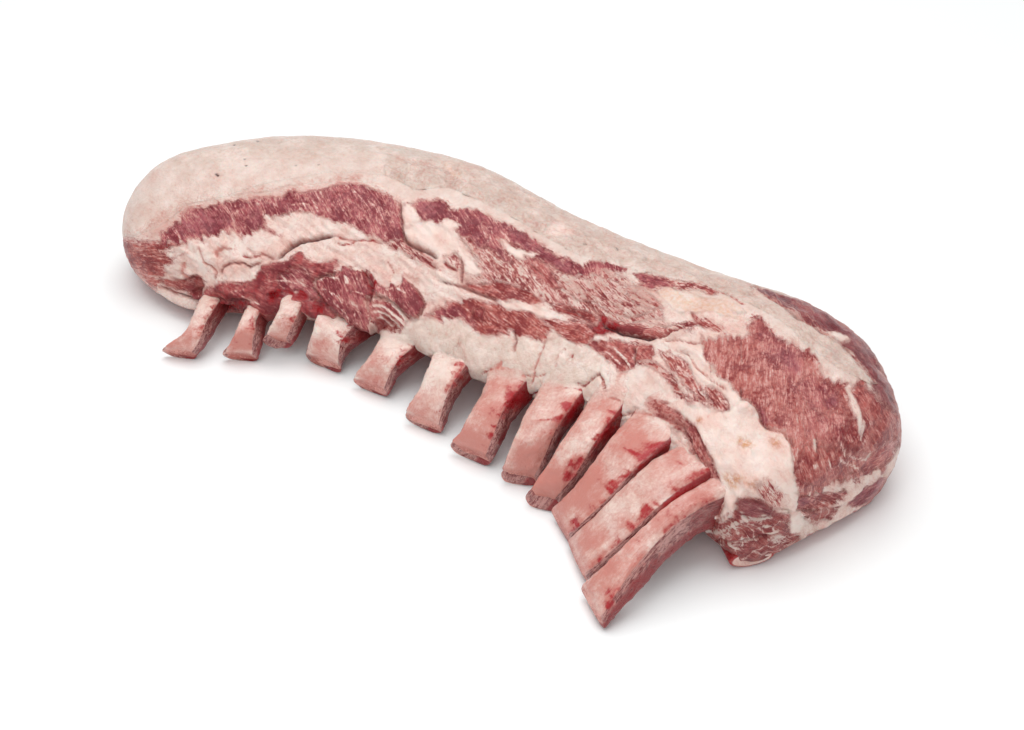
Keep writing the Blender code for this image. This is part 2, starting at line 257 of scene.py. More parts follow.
@dataclass(frozen=True)
class RackForm:
    """The smooth form of the flesh: sizes at places along the spine, as in the part's solids."""

    centre: Row = (-37.34, 4.68)
    spine: tuple[Row, ...] = (
        (-271, -24), (-234, 3), (-180, 27), (-105, 46), (-20, 51), (56, 54), (112, 45), (150, 33), (192, 18)
    )
    back_reach: Row = (28, 47, 70, 71, 62, 61, 74, 75, 51)
    front_reach: Row = (36, 46, 62, 56, 61, 58, 62, 68, 56)
    ridge_height: Row = (62, 77, 83, 86, 82, 82, 86, 81, 68)
    front_height: Row = (30, 24, 29, 33, 33, 39, 42, 38, 26)
    front_thickness: Row = (44, 38, 26, 25, 26, 26, 34, 52, 50)
    left_rounding: float = 42.0
    right_rounding: float = 14.0
    left_squareness: float = 2.5
    right_squareness: float = 2.2
    right_closing: float = 0.6
    end_centre: float = 0.50
    # Swellings: millimetres along, share of the girth, half sizes along and round, and height.
    swellings: tuple[Row, ...] = (
        (70, 0.585, 34, 16, 3.5),
        (118, 0.560, 26, 12, 3.5),
        (48, 0.705, 24, 9, 5.0),
        (168, 0.600, 22, 20, 5.0),
        (205, 0.585, 18, 12, 4.0),
        (205, 0.520, 34, 14, 2.5),
        (268, 0.440, 50, 12, 2.5),
        (300, 0.520, 46, 12, 2.0),
        (340, 0.420, 40, 14, 3.0),
        (390, 0.530, 24, 10, 3.5),
        (438, 0.478, 12, 11, 5.0),
        (420, 0.520, 26, 8, 2.5),
        (440, 0.390, 34, 30, 3.0),
        (452, 0.620, 22, 14, 3.0),
        (205, 0.310, 40, 30, 3.0),
        (345, 0.300, 60, 40, -1.6),
        (60, 0.330, 40, 40, -1.0),
    )
    key_steps: int = 24
    slope_step: float = 0.006

    @staticmethod
    def along(table: Sequence, place: Any) -> Array:
        """The value of a size at a place from 0 to 1 along the spine, on a smooth curve.

        Args:
            table: The size at the spine's points.
            place: Place or places along the spine.

        Returns:
            The value or values.
        """
        values = np.asarray(table, float)
        count = len(values)
        x = np.clip(place, 0, 1) * (count - 1)
        i = np.clip(np.floor(x).astype(int), 0, count - 2)
        t = x - i
        if values.ndim > 1:
            t = np.asarray(t)[..., None]
        before, after = values[np.clip(i - 1, 0, count - 1)], values[np.clip(i + 2, 0, count - 1)]
        return curve(before, values[i], values[i + 1], after, t)

    @cache
    def lengths(self) -> tuple[Array, Array]:
        """Places from 0 to 1 and the millimetres along the spine at each."""
        at = np.linspace(0, 1, 801)
        steps = np.linalg.norm(np.diff(self.along(self.spine, at), axis=0), axis=1)
        return at, np.concatenate([[0], np.cumsum(steps)])

    def section(self, place: float) -> Array:
        """The closed outline of the flesh square to the spine: across and height, in millimetres.

        It runs from under the back, up over the ridge and down the front to the floor.

        Args:
            place: Place from 0 to 1 along the spine.

        Returns:
            One point a row.
        """
        back = self.along(self.back_reach, place)
        front = self.along(self.front_reach, place)
        ridge = self.along(self.ridge_height, place)
        edge = self.along(self.front_height, place)
        thick = self.along(self.front_thickness, place)
        lip = edge + thick / 2
        under = max(edge - thick / 2, 0)
        keys = np.array(
            (
                (0.70 * back, 0),
                (0.97 * back, 0.26 * ridge),
                (0.98 * back, 0.58 * ridge),
                (0.80 * back, 0.87 * ridge),
                (0.40 * back, 1.0 * ridge),
                (-0.05 * front, 0.955 * ridge),
                (-0.45 * front, lip + (ridge - lip) * 0.56),
                (-0.82 * front, lip + (ridge - lip) * 0.08),
                (-1.0 * front, edge),
                (-0.86 * front, under),
                (-0.50 * front, under * 0.85),
                (-0.18 * front, under * 0.35),
                (0.10 * back, 0),
            )
        )
        before, end, after = (np.roll(keys, shift, axis=0)[:, None] for shift in (1, -1, -2))
        t = (np.arange(self.key_steps) / self.key_steps)[None, :, None]
        outline = curve(before, keys[:, None], end, after, t).reshape(-1, 2)
        outline[:, 1] = np.maximum(outline[:, 1], 0)
        return outline

    def relief(self, distance: float, girth: Array) -> Array:
        """How far the surface swells out of the smooth form, in millimetres."""
        out = np.zeros(len(girth))
        for s, g, half_s, half_g, height in self.swellings:
            round_share = (((girth - g) * GIRTH_MM) / half_g) ** 2
            out += height * np.exp(-(((distance - s) / half_s) ** 2) - round_share)
        return out

    def ring(self, distance: float, girth: Array, shrink: float = 1.0) -> Array:
        """Points round the flesh.

        Args:
            distance: Millimetres along the spine.
            girth: Places round the girth, 0 to 1.
            shrink: Share of the outline's size, below 1 on the cut face.

        Returns:
            One point a row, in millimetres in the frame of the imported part.
        """
        at, run = self.lengths()
        total = run[-1]
        place = float(np.interp(distance, run, at))
        outline = self.section(place)
        loop = np.vstack([outline, outline[:1]])
        length = np.concatenate([[0], np.cumsum(np.linalg.norm(np.diff(loop, axis=0), axis=1))])

        def spot(g: Array) -> Array:
            """Points of the outline."""
            return np.stack([np.interp((g % 1.0) * length[-1], length, loop[:, k]) for k in range(2)], -1)

        ahead = spot(girth + self.slope_step) - spot(girth - self.slope_step)
        outward = np.stack([ahead[:, 1], -ahead[:, 0]], -1)
        outward /= np.linalg.norm(outward, axis=1)[:, None]
        left = np.clip(1 - distance / self.left_rounding, 0, 1)
        right = np.clip(1 - (total - distance) / self.right_rounding, 0, 1)
        closing = (1 - self.right_closing * right**self.right_squareness) ** (1 / self.right_squareness)
        scale = (1 - left**self.left_squareness) ** (1 / self.left_squareness) * closing * shrink
        flat = spot(girth) + outward * self.relief(distance, girth)[:, None]
        flat[:, 1] = np.maximum(flat[:, 1], 0)
        middle = np.array([0.0, self.along(self.ridge_height, place) * self.end_centre])
        flat = middle + (flat - middle) * scale
        low, high = max(place - 1e-3, 0.0), min(place + 1e-3, 1.0)
        way = self.along(self.spine, high) - self.along(self.spine, low)
        way /= np.linalg.norm(way)
        point = self.along(self.spine, place) - np.array(self.centre)
        across = np.array([-way[1], way[0]])
        return np.column_stack([point + flat[:, :1] * across, flat[:, 1]])

    def length(self) -> float:
        """Millimetres along the spine from end to end."""
        return float(self.lengths()[1][-1])


@dataclass(frozen=True)
class Tissue:
    """What a patch of surface is made of: shares from 0 to 1 and heights in millimetres."""

    fat: float = 1.0
    streak: float = 0.12
    web: float = 0.0
    blood: float = 0.0
    # Share of the dark colour: the own dark of dark lean and clotted blood, and painted shade in hollows.
    dark: float = 0.0
    purple: float = 0.0
    yellow: float = 0.0
    film: float = 0.0
    rosy: float = 0.0
    height: float = 0.0
    folds: float = 0.3


CHANNELS = ("fat", "streak", "web", "blood", "dark", "purple", "yellow", "film", "rosy", "height", "folds")


class Kind(Enum):
    """The tissues that show on the rack."""

    FAT = Tissue(fat=1.15, rosy=0.08, folds=0.55)
    CAP = Tissue(fat=1.3, rosy=0.10, film=0.3, dark=0.10, folds=0.06)
    CAP_GREY = Tissue(fat=1.3, rosy=0.05, film=0.8, dark=0.07, folds=0.3)
    CAP_ROUGH = Tissue(fat=1.25, rosy=0.22, film=0.8, dark=0.06, yellow=0.10, streak=0.06, folds=1.1)
    HAZE = Tissue(fat=0.70, streak=0.15, film=0.9, purple=0.9, rosy=0.35, folds=0.1)
    PINK_FAT = Tissue(fat=1.0, streak=0.34, rosy=0.20, folds=0.75)
    WHITE_FAT = Tissue(fat=1.3, streak=0.05, rosy=0.10, height=0.6, folds=0.45)
    YELLOW_FAT = Tissue(fat=1.1, streak=0.25, yellow=0.42, folds=0.9)
    ORANGE = Tissue(fat=1.25, streak=0.1, yellow=1.1, rosy=0.45, height=0.4, folds=0.6)
    MEMBRANE = Tissue(fat=1.25, streak=0.06, film=0.85, rosy=0.14, height=0.3, folds=0.28)
    PURPLE_LEAN = Tissue(fat=0.18, streak=0.62, purple=0.75, height=-0.5, folds=0.5)
    DEEP_LEAN = Tissue(fat=0.06, streak=0.42, purple=0.9, dark=0.12, height=-0.7, folds=0.4)
    DARK_LEAN = Tissue(fat=0.06, streak=0.50, purple=0.7, dark=0.36, height=-0.7, folds=0.8)
    STRIP = Tissue(fat=0.26, streak=0.95, purple=0.05, height=-0.5, folds=0.9)
    BROWN_LEAN = Tissue(fat=0.18, streak=0.62, height=-0.5, folds=0.6)
    RED_LEAN = Tissue(fat=0.14, streak=0.55, purple=0.25, height=-0.4, folds=0.6)
    OVER_LEAN = Tissue(fat=0.06, streak=0.54, purple=0.45, blood=0.26, height=2.4, folds=1.1)
    FLAP = Tissue(fat=0.10, streak=0.78, purple=0.65, height=2.2, folds=0.5)
    STREAKY = Tissue(fat=0.44, streak=1.0, purple=0.25, film=0.3, height=-0.2, folds=0.7)
    STREAKY_PALE = Tissue(fat=0.64, streak=0.9, film=0.6, rosy=0.35, folds=1.0)
    MUSCLE = Tissue(fat=0.24, streak=0.52, purple=0.08, film=0.62, height=-0.3, folds=0.35)
    MUSCLE_PURPLE = Tissue(fat=0.22, streak=0.50, purple=0.62, film=0.55, height=-0.3, folds=0.3)
    WEBBED = Tissue(fat=0.10, streak=0.46, web=0.34, purple=0.15, film=0.25, height=-0.4, folds=0.6)
    WEB_DARK = Tissue(
        fat=-0.04, streak=0.3, web=1.1, dark=0.16, blood=0.2, purple=0.2, height=-0.6, folds=1.3
    )
    # A sunk hollow: its dark is painted shade, its red is blood.
    CAVE = Tissue(fat=0.08, streak=0.5, dark=0.30, blood=0.36, height=-1.1, folds=1.1)
    BLOODY = Tissue(fat=0.12, streak=0.7, blood=0.85, dark=0.20, purple=0.7, height=-0.4, folds=1.1)
    LAYERED = Tissue(fat=0.30, streak=0.42, purple=0.05, blood=0.10, film=0.6, height=-0.1, folds=0.9)
    STRIPES = Tissue(fat=0.16, streak=0.5, purple=0.5, height=0.6)
    ROLL = Tissue(fat=1.2, streak=0.1, film=0.3, rosy=0.2, height=0.5)
    SKIN = Tissue(fat=1.3, streak=0.05, film=0.3, rosy=0.42, folds=0.4)
    ROSE = Tissue(fat=1.3, streak=0.05, rosy=0.62, folds=0.5)
    RED_SKIN = Tissue(fat=1.2, streak=0.2, rosy=0.80, blood=0.22, height=-0.2, folds=0.5)
    GORE = Tissue(fat=1.0, streak=0.2, rosy=0.9, blood=0.62, dark=0.03, height=-0.3, folds=0.7)


@dataclass(frozen=True)
class Patch:
    """A patch of tissue: its outline in the view, the way its fibres run and how soft its edge is."""

    kind: Kind
    outline: str
    turn: float = 45.0
    soft: float = 2.2
    ragged: float = 2.0


@dataclass(frozen=True)
class Crease:
    """A line on the surface: depth above 0 sinks it, below 0 raises it. Width is half its width in the view.

    White is how much of it is fat. Dark is painted shade along its sunk core.
    """

    line: str
    depth: float
    width: float
    # Painted shade in the crease's core.
    dark: float = 0.0
    blood: float = 0.0
    white: float = 0.0


FLESH_PATCHES = (
    # Left end.
    Patch(Kind.BROWN_LEAN, "118,236 140,240 155,240 165,242 186,243 168,248 161,252 172,252 186,255 173,259"
          " 168,263 166,272 163,280 160,290 150,284 140,276 128,266 120,255", 12),
    # First band of lean under the cap.
    Patch(Kind.HAZE, "128,236 150,226 170,214 184,204 210,200 240,194 262,192 291,186 322,183 340,180 360,180"
          " 372,190 340,196 300,200 262,206 230,208 200,214 180,226 160,240 140,242", 20, 7, 1.0),
    Patch(Kind.PURPLE_LEAN, "158,239 168,229 180,222 184,213 195,208 212,208 222,203 240,200 262,200 280,197"
          " 291,193 305,191 322,190 335,186 353,184 365,186 375,190 390,195 398,200 402,212 403,225 405,238"
          " 396,246 385,241 375,236 365,232 357,226 345,222 335,222 325,218 313,213 305,212 298,211 290,212"
          " 283,216 275,218 268,216 263,218 262,225 268,230 275,235 281,238 270,234 258,227 250,236 242,236"
          " 235,232 225,231 218,231 213,236 205,240 190,241 180,243 165,245", 62),
    Patch(Kind.DEEP_LEAN, "246,216 256,213 264,219 262,227 254,230 247,226", 60, 3, 2),
    Patch(Kind.DEEP_LEAN, "176,228 190,216 206,211 222,212 232,222 220,230 205,232 190,236", 62, 5, 2),
    # Folded loose fat with hollows, darkened with painted shade.
    Patch(Kind.PINK_FAT, "170,252 180,250 188,253 182,257 172,257", 10),
    Patch(Kind.CAVE, "161,284 172,280 185,279 199,277 203,283 202,291 196,297 185,295 175,291"
          " 166,288", 20, 2.5, 2.5),
    Patch(Kind.BROWN_LEAN, "163,284 172,281 182,282 193,285 192,293 184,294 175,291 166,288", 20, 2, 2.5),
    Patch(Kind.ROLL, "158,286 166,290 176,296 188,299 205,299 205,308 185,309 168,303 158,295", 25, 1.5, 0.5),
    Patch(Kind.PINK_FAT, "172,268 184,270 190,276 182,279 170,276", 20),
    # Second band of lean over the first bones.
    Patch(Kind.OVER_LEAN, "197,298 199,292 210,288 218,284 225,281 240,283 250,282 256,275 262,267 268,263"
          " 276,262 284,262 290,258 296,253 302,252 306,257 313,262 325,262 339,260 340,265 335,272 325,275"
          " 316,279 310,285 318,295 330,305 340,315 335,322 320,318 305,312 290,312 272,318 262,320 250,322"
          " 235,322 215,318 202,308", 25),
    Patch(Kind.PURPLE_LEAN, "276,276 290,270 305,266 312,276 316,290 318,303 306,298 292,292 280,288", 40, 4),
    Patch(Kind.BLOODY, "222,303 235,300 246,302 246,312 240,320 226,320", 40, 2),
    Patch(Kind.BLOODY, "270,294 285,290 300,290 312,297 325,306 318,310 303,299 285,296 272,299", 20, 2, 1),
    Patch(Kind.FLAP, "316,280 325,276 340,275 347,268 357,267 363,273 369,282 371,292 368,305 372,320 376,335"
          " 370,342 360,337 350,327 340,317 330,308 322,300 315,290", 58, 1.6),
    Patch(Kind.FLAP, "371,293 378,286 392,285 400,283 406,280 412,284 417,291 422,298 426,306 421,314 413,318"
          " 406,315 400,305 392,299 380,296 372,296", 62, 1.6),
    Patch(Kind.STRIPES, "367,298 380,297 392,301 400,308 408,318 412,326 404,334 395,331 385,330 378,333"
          " 374,322 368,312", 48, 1.6),
    # A hollow darkened with painted shade.
    Patch(Kind.CAVE, "376,314 388,314 396,321 400,330 390,331 380,332 376,325", 50, 3),
    Patch(Kind.BLOODY, "361,270 368,273 375,280 378,284 371,290 366,282", 60, 2, 1),
    # Strips beside the middle crack.
    Patch(Kind.STREAKY, "385,243 396,240 404,238 410,246 420,252 432,260 440,270 428,268 418,259 408,254"
          " 398,252 388,248", 45),
    # Second band under the cap and the streaky muscle below it.
    Patch(Kind.STREAKY, "455,228 470,222 490,228 505,238 520,240 535,248 545,256 560,266 575,272 600,272"
          " 625,276 645,292 660,306 665,318 640,322 612,322 600,314 580,318 560,312 545,300 530,292 512,284"
          " 500,281 480,282 462,280 458,270 470,262 480,262 470,250 462,240", 52, 5),
    Patch(Kind.STREAKY_PALE, "545,262 575,274 600,278 630,288 650,300 655,312 630,316 610,312 598,304 580,300"
          " 560,286", 42, 6),
    Patch(Kind.PURPLE_LEAN, "405,203 420,200 432,199 446,202 448,207 458,209 472,209 485,212 491,216 497,220"
          " 503,223 512,227 520,230 528,233 537,238 545,247 555,254 563,260 575,261 590,261 607,262 622,264"
          " 632,268 618,272 600,273 582,272 570,272 558,270 548,264 538,257 530,250 520,244 510,240 505,238"
          " 498,240 504,252 512,262 505,264 494,252 485,246 478,248 470,238 462,238 458,232 456,222 448,226"
          " 440,222 430,222 420,222 413,212", 60),
    Patch(Kind.DEEP_LEAN, "420,203 434,202 446,206 442,216 430,218 421,213", 60, 4),
    Patch(Kind.DEEP_LEAN, "510,228 525,236 540,245 556,256 575,262 572,270 556,266 540,256 524,247"
          " 512,240", 42, 4),
    Patch(Kind.PURPLE_LEAN, "470,224 486,222 492,232 488,246 478,244 472,236", 62, 5),
    Patch(Kind.RED_LEAN, "530,258 545,264 556,276 560,288 548,286 538,276 530,266", 50, 4),
    Patch(Kind.STRIP, "638,272 650,276 662,277 675,281 690,281 705,284 718,290 712,293 698,290 688,292"
          " 672,288 660,287 650,287 640,281", 18),
    Patch(Kind.WHITE_FAT, "403,205 409,203 416,210 421,221 412,225 403,226", 50, 1.5),
    Patch(Kind.FAT, "404,226 420,225 440,228 448,232 458,237 461,244 463,252 472,260 478,268 486,274 478,278"
          " 462,272 445,264 436,256 424,248 412,240 405,233", 45, 2.5),
    Patch(Kind.WHITE_FAT, "441,219 449,219 459,223 458,228 448,230 442,226", 30, 1.5),
    Patch(Kind.FAT, "496,236 505,237 512,245 518,250 530,248 538,252 530,256 516,256 506,250", 40, 2),
    Patch(Kind.STREAKY, "445,255 458,253 462,262 460,271 450,268 444,262", 60, 3),
    # Brown-red band, fold and patches below the streaky muscle.
    Patch(Kind.BROWN_LEAN, "462,282 480,283 500,282 515,286 530,291 542,300 532,305 515,299 500,300 488,295"
          " 474,290 464,287", 25, 2.2),
    Patch(Kind.BROWN_LEAN, "425,315 440,305 450,300 460,297 475,296 487,300 500,303 515,308 530,313 542,320"
          " 549,330 548,338 540,343 530,339 520,338 512,331 508,326 505,336 494,338 480,335 472,329 465,321"
          " 458,313 448,314 438,318", 40, 2, 3),
    Patch(Kind.PURPLE_LEAN, "426,314 440,306 455,304 464,312 470,322 460,315 448,315 436,318", 40, 3),
    Patch(Kind.RED_LEAN, "472,305 485,306 480,318 470,316", 70, 4),
    Patch(Kind.BROWN_LEAN, "541,318 555,320 568,321 580,320 592,322 600,330 596,338 590,345 576,346 562,339"
          " 550,329", 25, 2, 3),
    Patch(Kind.FAT, "500,300 515,301 530,304 545,310 560,316 550,319 538,316 522,309 508,307", 25, 2),
    # Deep seam and the wall above it.
    Patch(Kind.BROWN_LEAN, "552,303 566,306 580,309 590,312 600,318 592,322 578,317 560,314", 25, 2),
    Patch(Kind.STREAKY, "606,318 625,322 645,324 665,324 690,320 700,326 692,332 680,329 668,333 655,339"
          " 640,338 625,334 612,330", 10, 3),
    Patch(Kind.RED_LEAN, "612,324 630,328 650,331 662,332 655,338 640,337 625,333 612,329", 10, 2),
    Patch(Kind.BLOODY, "588,325 598,324 601,314 606,316 614,322 622,328 614,332 604,335 596,331", 45, 2, 1),
    # Fat and small muscles right of the seam.
    Patch(Kind.PURPLE_LEAN, "636,272 650,275 664,280 676,286 668,292 656,292 646,288 640,281", 15, 2, 3),
    Patch(Kind.YELLOW_FAT, "660,292 675,290 690,292 705,294 722,298 742,304 738,312 716,311 700,316 688,314"
          " 675,308 662,302", 20, 5, 5),
    Patch(Kind.STREAKY_PALE, "625,284 640,286 655,298 662,306 650,310 636,304 626,294", 30, 4),
    Patch(Kind.STRIP, "690,312 698,318 710,320 722,328 716,332 703,328 694,322", 35, 2),
    Patch(Kind.WEBBED, "588,344 600,341 618,340 635,342 652,345 656,355 651,361 640,361 635,367 628,373"
          " 620,378 614,374 609,363 602,356 594,350", 40, 1.8),
    Patch(Kind.STRIP, "638,361 648,363 660,367 670,372 677,381 682,390 690,396 698,402 690,402 678,395"
          " 670,386 662,377 650,371 640,367", 38, 2.6, 3),
    Patch(Kind.STRIP, "660,351 672,354 685,362 694,370 698,384 704,396 709,406 700,402 694,393 686,383"
          " 676,373 664,362", 45, 2.6, 3),
    Patch(Kind.STRIP, "703,387 712,386 720,393 727,402 728,410 719,412 711,404 705,396", 52, 2.6, 3),
    Patch(Kind.FAT, "663,342 680,340 700,342 704,352 712,368 724,378 736,392 742,400 735,408 728,400 716,388"
          " 702,380 692,366 682,354 668,348", 45, 2),
    # Membrane over the bones.
    Patch(Kind.MEMBRANE, "396,332 406,324 420,319 430,317 440,320 456,320 466,327 480,337 495,340 508,339"
          " 520,340 535,344 548,342 556,338 566,342 578,349 592,351 602,357 610,366 616,380 606,392 590,400"
          " 575,396 560,396 545,398 530,404 515,400 500,392 480,386 468,380 455,376 440,368 425,366 410,360"
          " 398,350", 60, 3),
    Patch(Kind.WHITE_FAT, "600,365 612,362 622,375 634,368 645,366 660,374 672,388 672,398 655,398 648,402"
          " 640,410 620,412 604,402 600,390 606,380", 45, 3),
    # Large muscle on the right.
    Patch(Kind.MUSCLE, "702,338 718,336 733,338 745,334 752,330 748,322 754,317 762,321 772,331 780,337"
          " 790,341 802,349 812,355 820,361 824,372 832,382 846,384 852,391 862,383 875,392 886,402 900,410"
          " 910,425 904,440 890,455 884,464 870,472 855,480 840,484 828,490 815,495 806,502 800,510 797,500"
          " 797,486 793,470 790,455 788,442 783,433 774,430 764,426 759,420 760,411 756,405 749,402 741,399"
          " 730,385 719,375 711,365 704,352", 89, 2.2, 3),
    Patch(Kind.MUSCLE_PURPLE, "752,320 764,322 778,338 792,343 806,352 804,372 796,384 784,372 770,360"
          " 758,340", 88, 7),
    Patch(Kind.MUSCLE_PURPLE, "796,384 812,372 830,384 842,395 838,410 820,412 806,404", 84, 6),
    Patch(Kind.DEEP_LEAN, "780,352 792,350 800,360 798,372 786,368", 88, 6),
    Patch(Kind.DEEP_LEAN, "823,399 832,396 839,401 838,408 828,409", 80, 2, 1),
    Patch(Kind.DEEP_LEAN, "756,404 764,408 769,418 766,426 760,420 760,411", 88, 3, 1),
    Patch(Kind.MUSCLE_PURPLE, "806,402 820,414 850,418 862,430 850,445 826,444 806,436 800,420", 80, 9),
    Patch(Kind.WEBBED, "838,390 856,386 872,392 888,404 902,416 906,430 896,444 880,450 862,452 846,446"
          " 842,430 852,418 846,404", 62, 4),
    Patch(Kind.WEBBED, "806,446 840,446 862,456 872,466 852,478 828,484 806,486 798,470", 70, 5),
    Patch(Kind.FAT, "846,386 851,385 856,400 861,414 864,428 860,434 857,420 851,404", 75, 1.5, 1),
    # Dark lean at the top right.
    Patch(Kind.DARK_LEAN, "742,280 765,284 780,288 800,294 815,300 830,309 842,318 858,332 872,350 882,365"
          " 894,385 903,400 893,404 884,394 878,386 870,378 864,366 854,354 840,343 822,333 810,326 797,316"
          " 785,308 775,302 765,294 755,288", 44, 2.5),
    Patch(Kind.DARK_LEAN, "840,338 856,346 868,360 874,374 884,386 896,402 905,415 896,412 884,400 872,386"
          " 862,372 852,356", 52, 3),
    Patch(Kind.FAT, "826,332 836,330 846,334 850,341 842,341 832,338", 35, 2),
    # White fat on the right, with its knob.
    Patch(Kind.WHITE_FAT, "670,398 684,402 700,408 715,412 728,412 738,404 750,402 758,408 760,418 764,426"
          " 776,430 784,434 788,442 790,456 794,470 798,486 799,500 797,510 788,512 780,500 775,488 764,480"
          " 754,478 748,490 742,498 736,506 730,520 722,522 722,505 720,488 714,468 708,452 700,438 692,424"
          " 680,412 668,404", 60, 2, 1.5),
    Patch(Kind.ORANGE, "726,478 736,474 744,478 742,484 734,487 728,484", 30, 4, 4),
    Patch(Kind.ORANGE, "748,481 755,480 756,486 750,487", 30, 3, 3),
    Patch(Kind.ORANGE, "740,438 746,438 754,446 748,450 742,446", 30, 4, 3),
    Patch(Kind.ORANGE, "697,418 701,418 702,423 698,424", 30, 2, 1),
    Patch(Kind.ORANGE, "772,440 778,440 780,448 774,448", 30, 4, 3),
    Patch(Kind.STREAKY, "754,484 764,478 776,482 784,494 782,506 772,506 762,498", 60, 3),
    # Layered red strip round the last bones.
    Patch(Kind.LAYERED, "646,404 655,399 666,402 676,409 686,417 694,425 690,432 677,431 664,423"
          " 653,416", 38, 1.8,
          1.5),
    Patch(Kind.LAYERED, "694,425 701,437 707,450 713,460 706,466 700,470 693,456 687,441 680,431"
          " 690,426", 60, 1.8,
          1.5),
    Patch(Kind.LAYERED, "713,460 718,475 724,492 726,506 720,517 711,506 706,490 700,470"
          " 706,462", 75, 1.8, 1.5),
    # Cut flesh at the bottom right.
    Patch(Kind.WEB_DARK, "722,522 732,518 742,500 756,497 766,503 778,512 790,512 796,524 800,540 780,556"
          " 760,575 730,575 695,555 690,540 700,525", 20, 2),
    Patch(Kind.DARK_LEAN, "738,504 748,500 760,502 768,508 776,514 766,518 750,518 742,514", 15, 3),
    Patch(Kind.DARK_LEAN, "686,530 694,525 702,530 700,540 690,542", 30, 3),
    Patch(Kind.BROWN_LEAN, "800,500 815,496 832,492 846,490 842,500 826,508 812,512 800,512", 15, 2),
    Patch(Kind.DEEP_LEAN, "799,502 806,497 812,503 804,511", 15, 2, 1),
    Patch(Kind.WEB_DARK, "806,514 826,508 838,506 830,520 812,526", 10, 2),
    Patch(Kind.FAT, "790,512 800,514 806,526 800,534 790,530", 80, 2, 1),
    Patch(Kind.DEEP_LEAN, "852,502 862,490 872,486 884,476 888,478 884,494 868,504 856,508", 330, 2, 1.5),
    Patch(Kind.RED_LEAN, "860,468 870,458 884,444 896,438 900,446 892,458 878,468 866,474", 325, 2, 1.5),
)

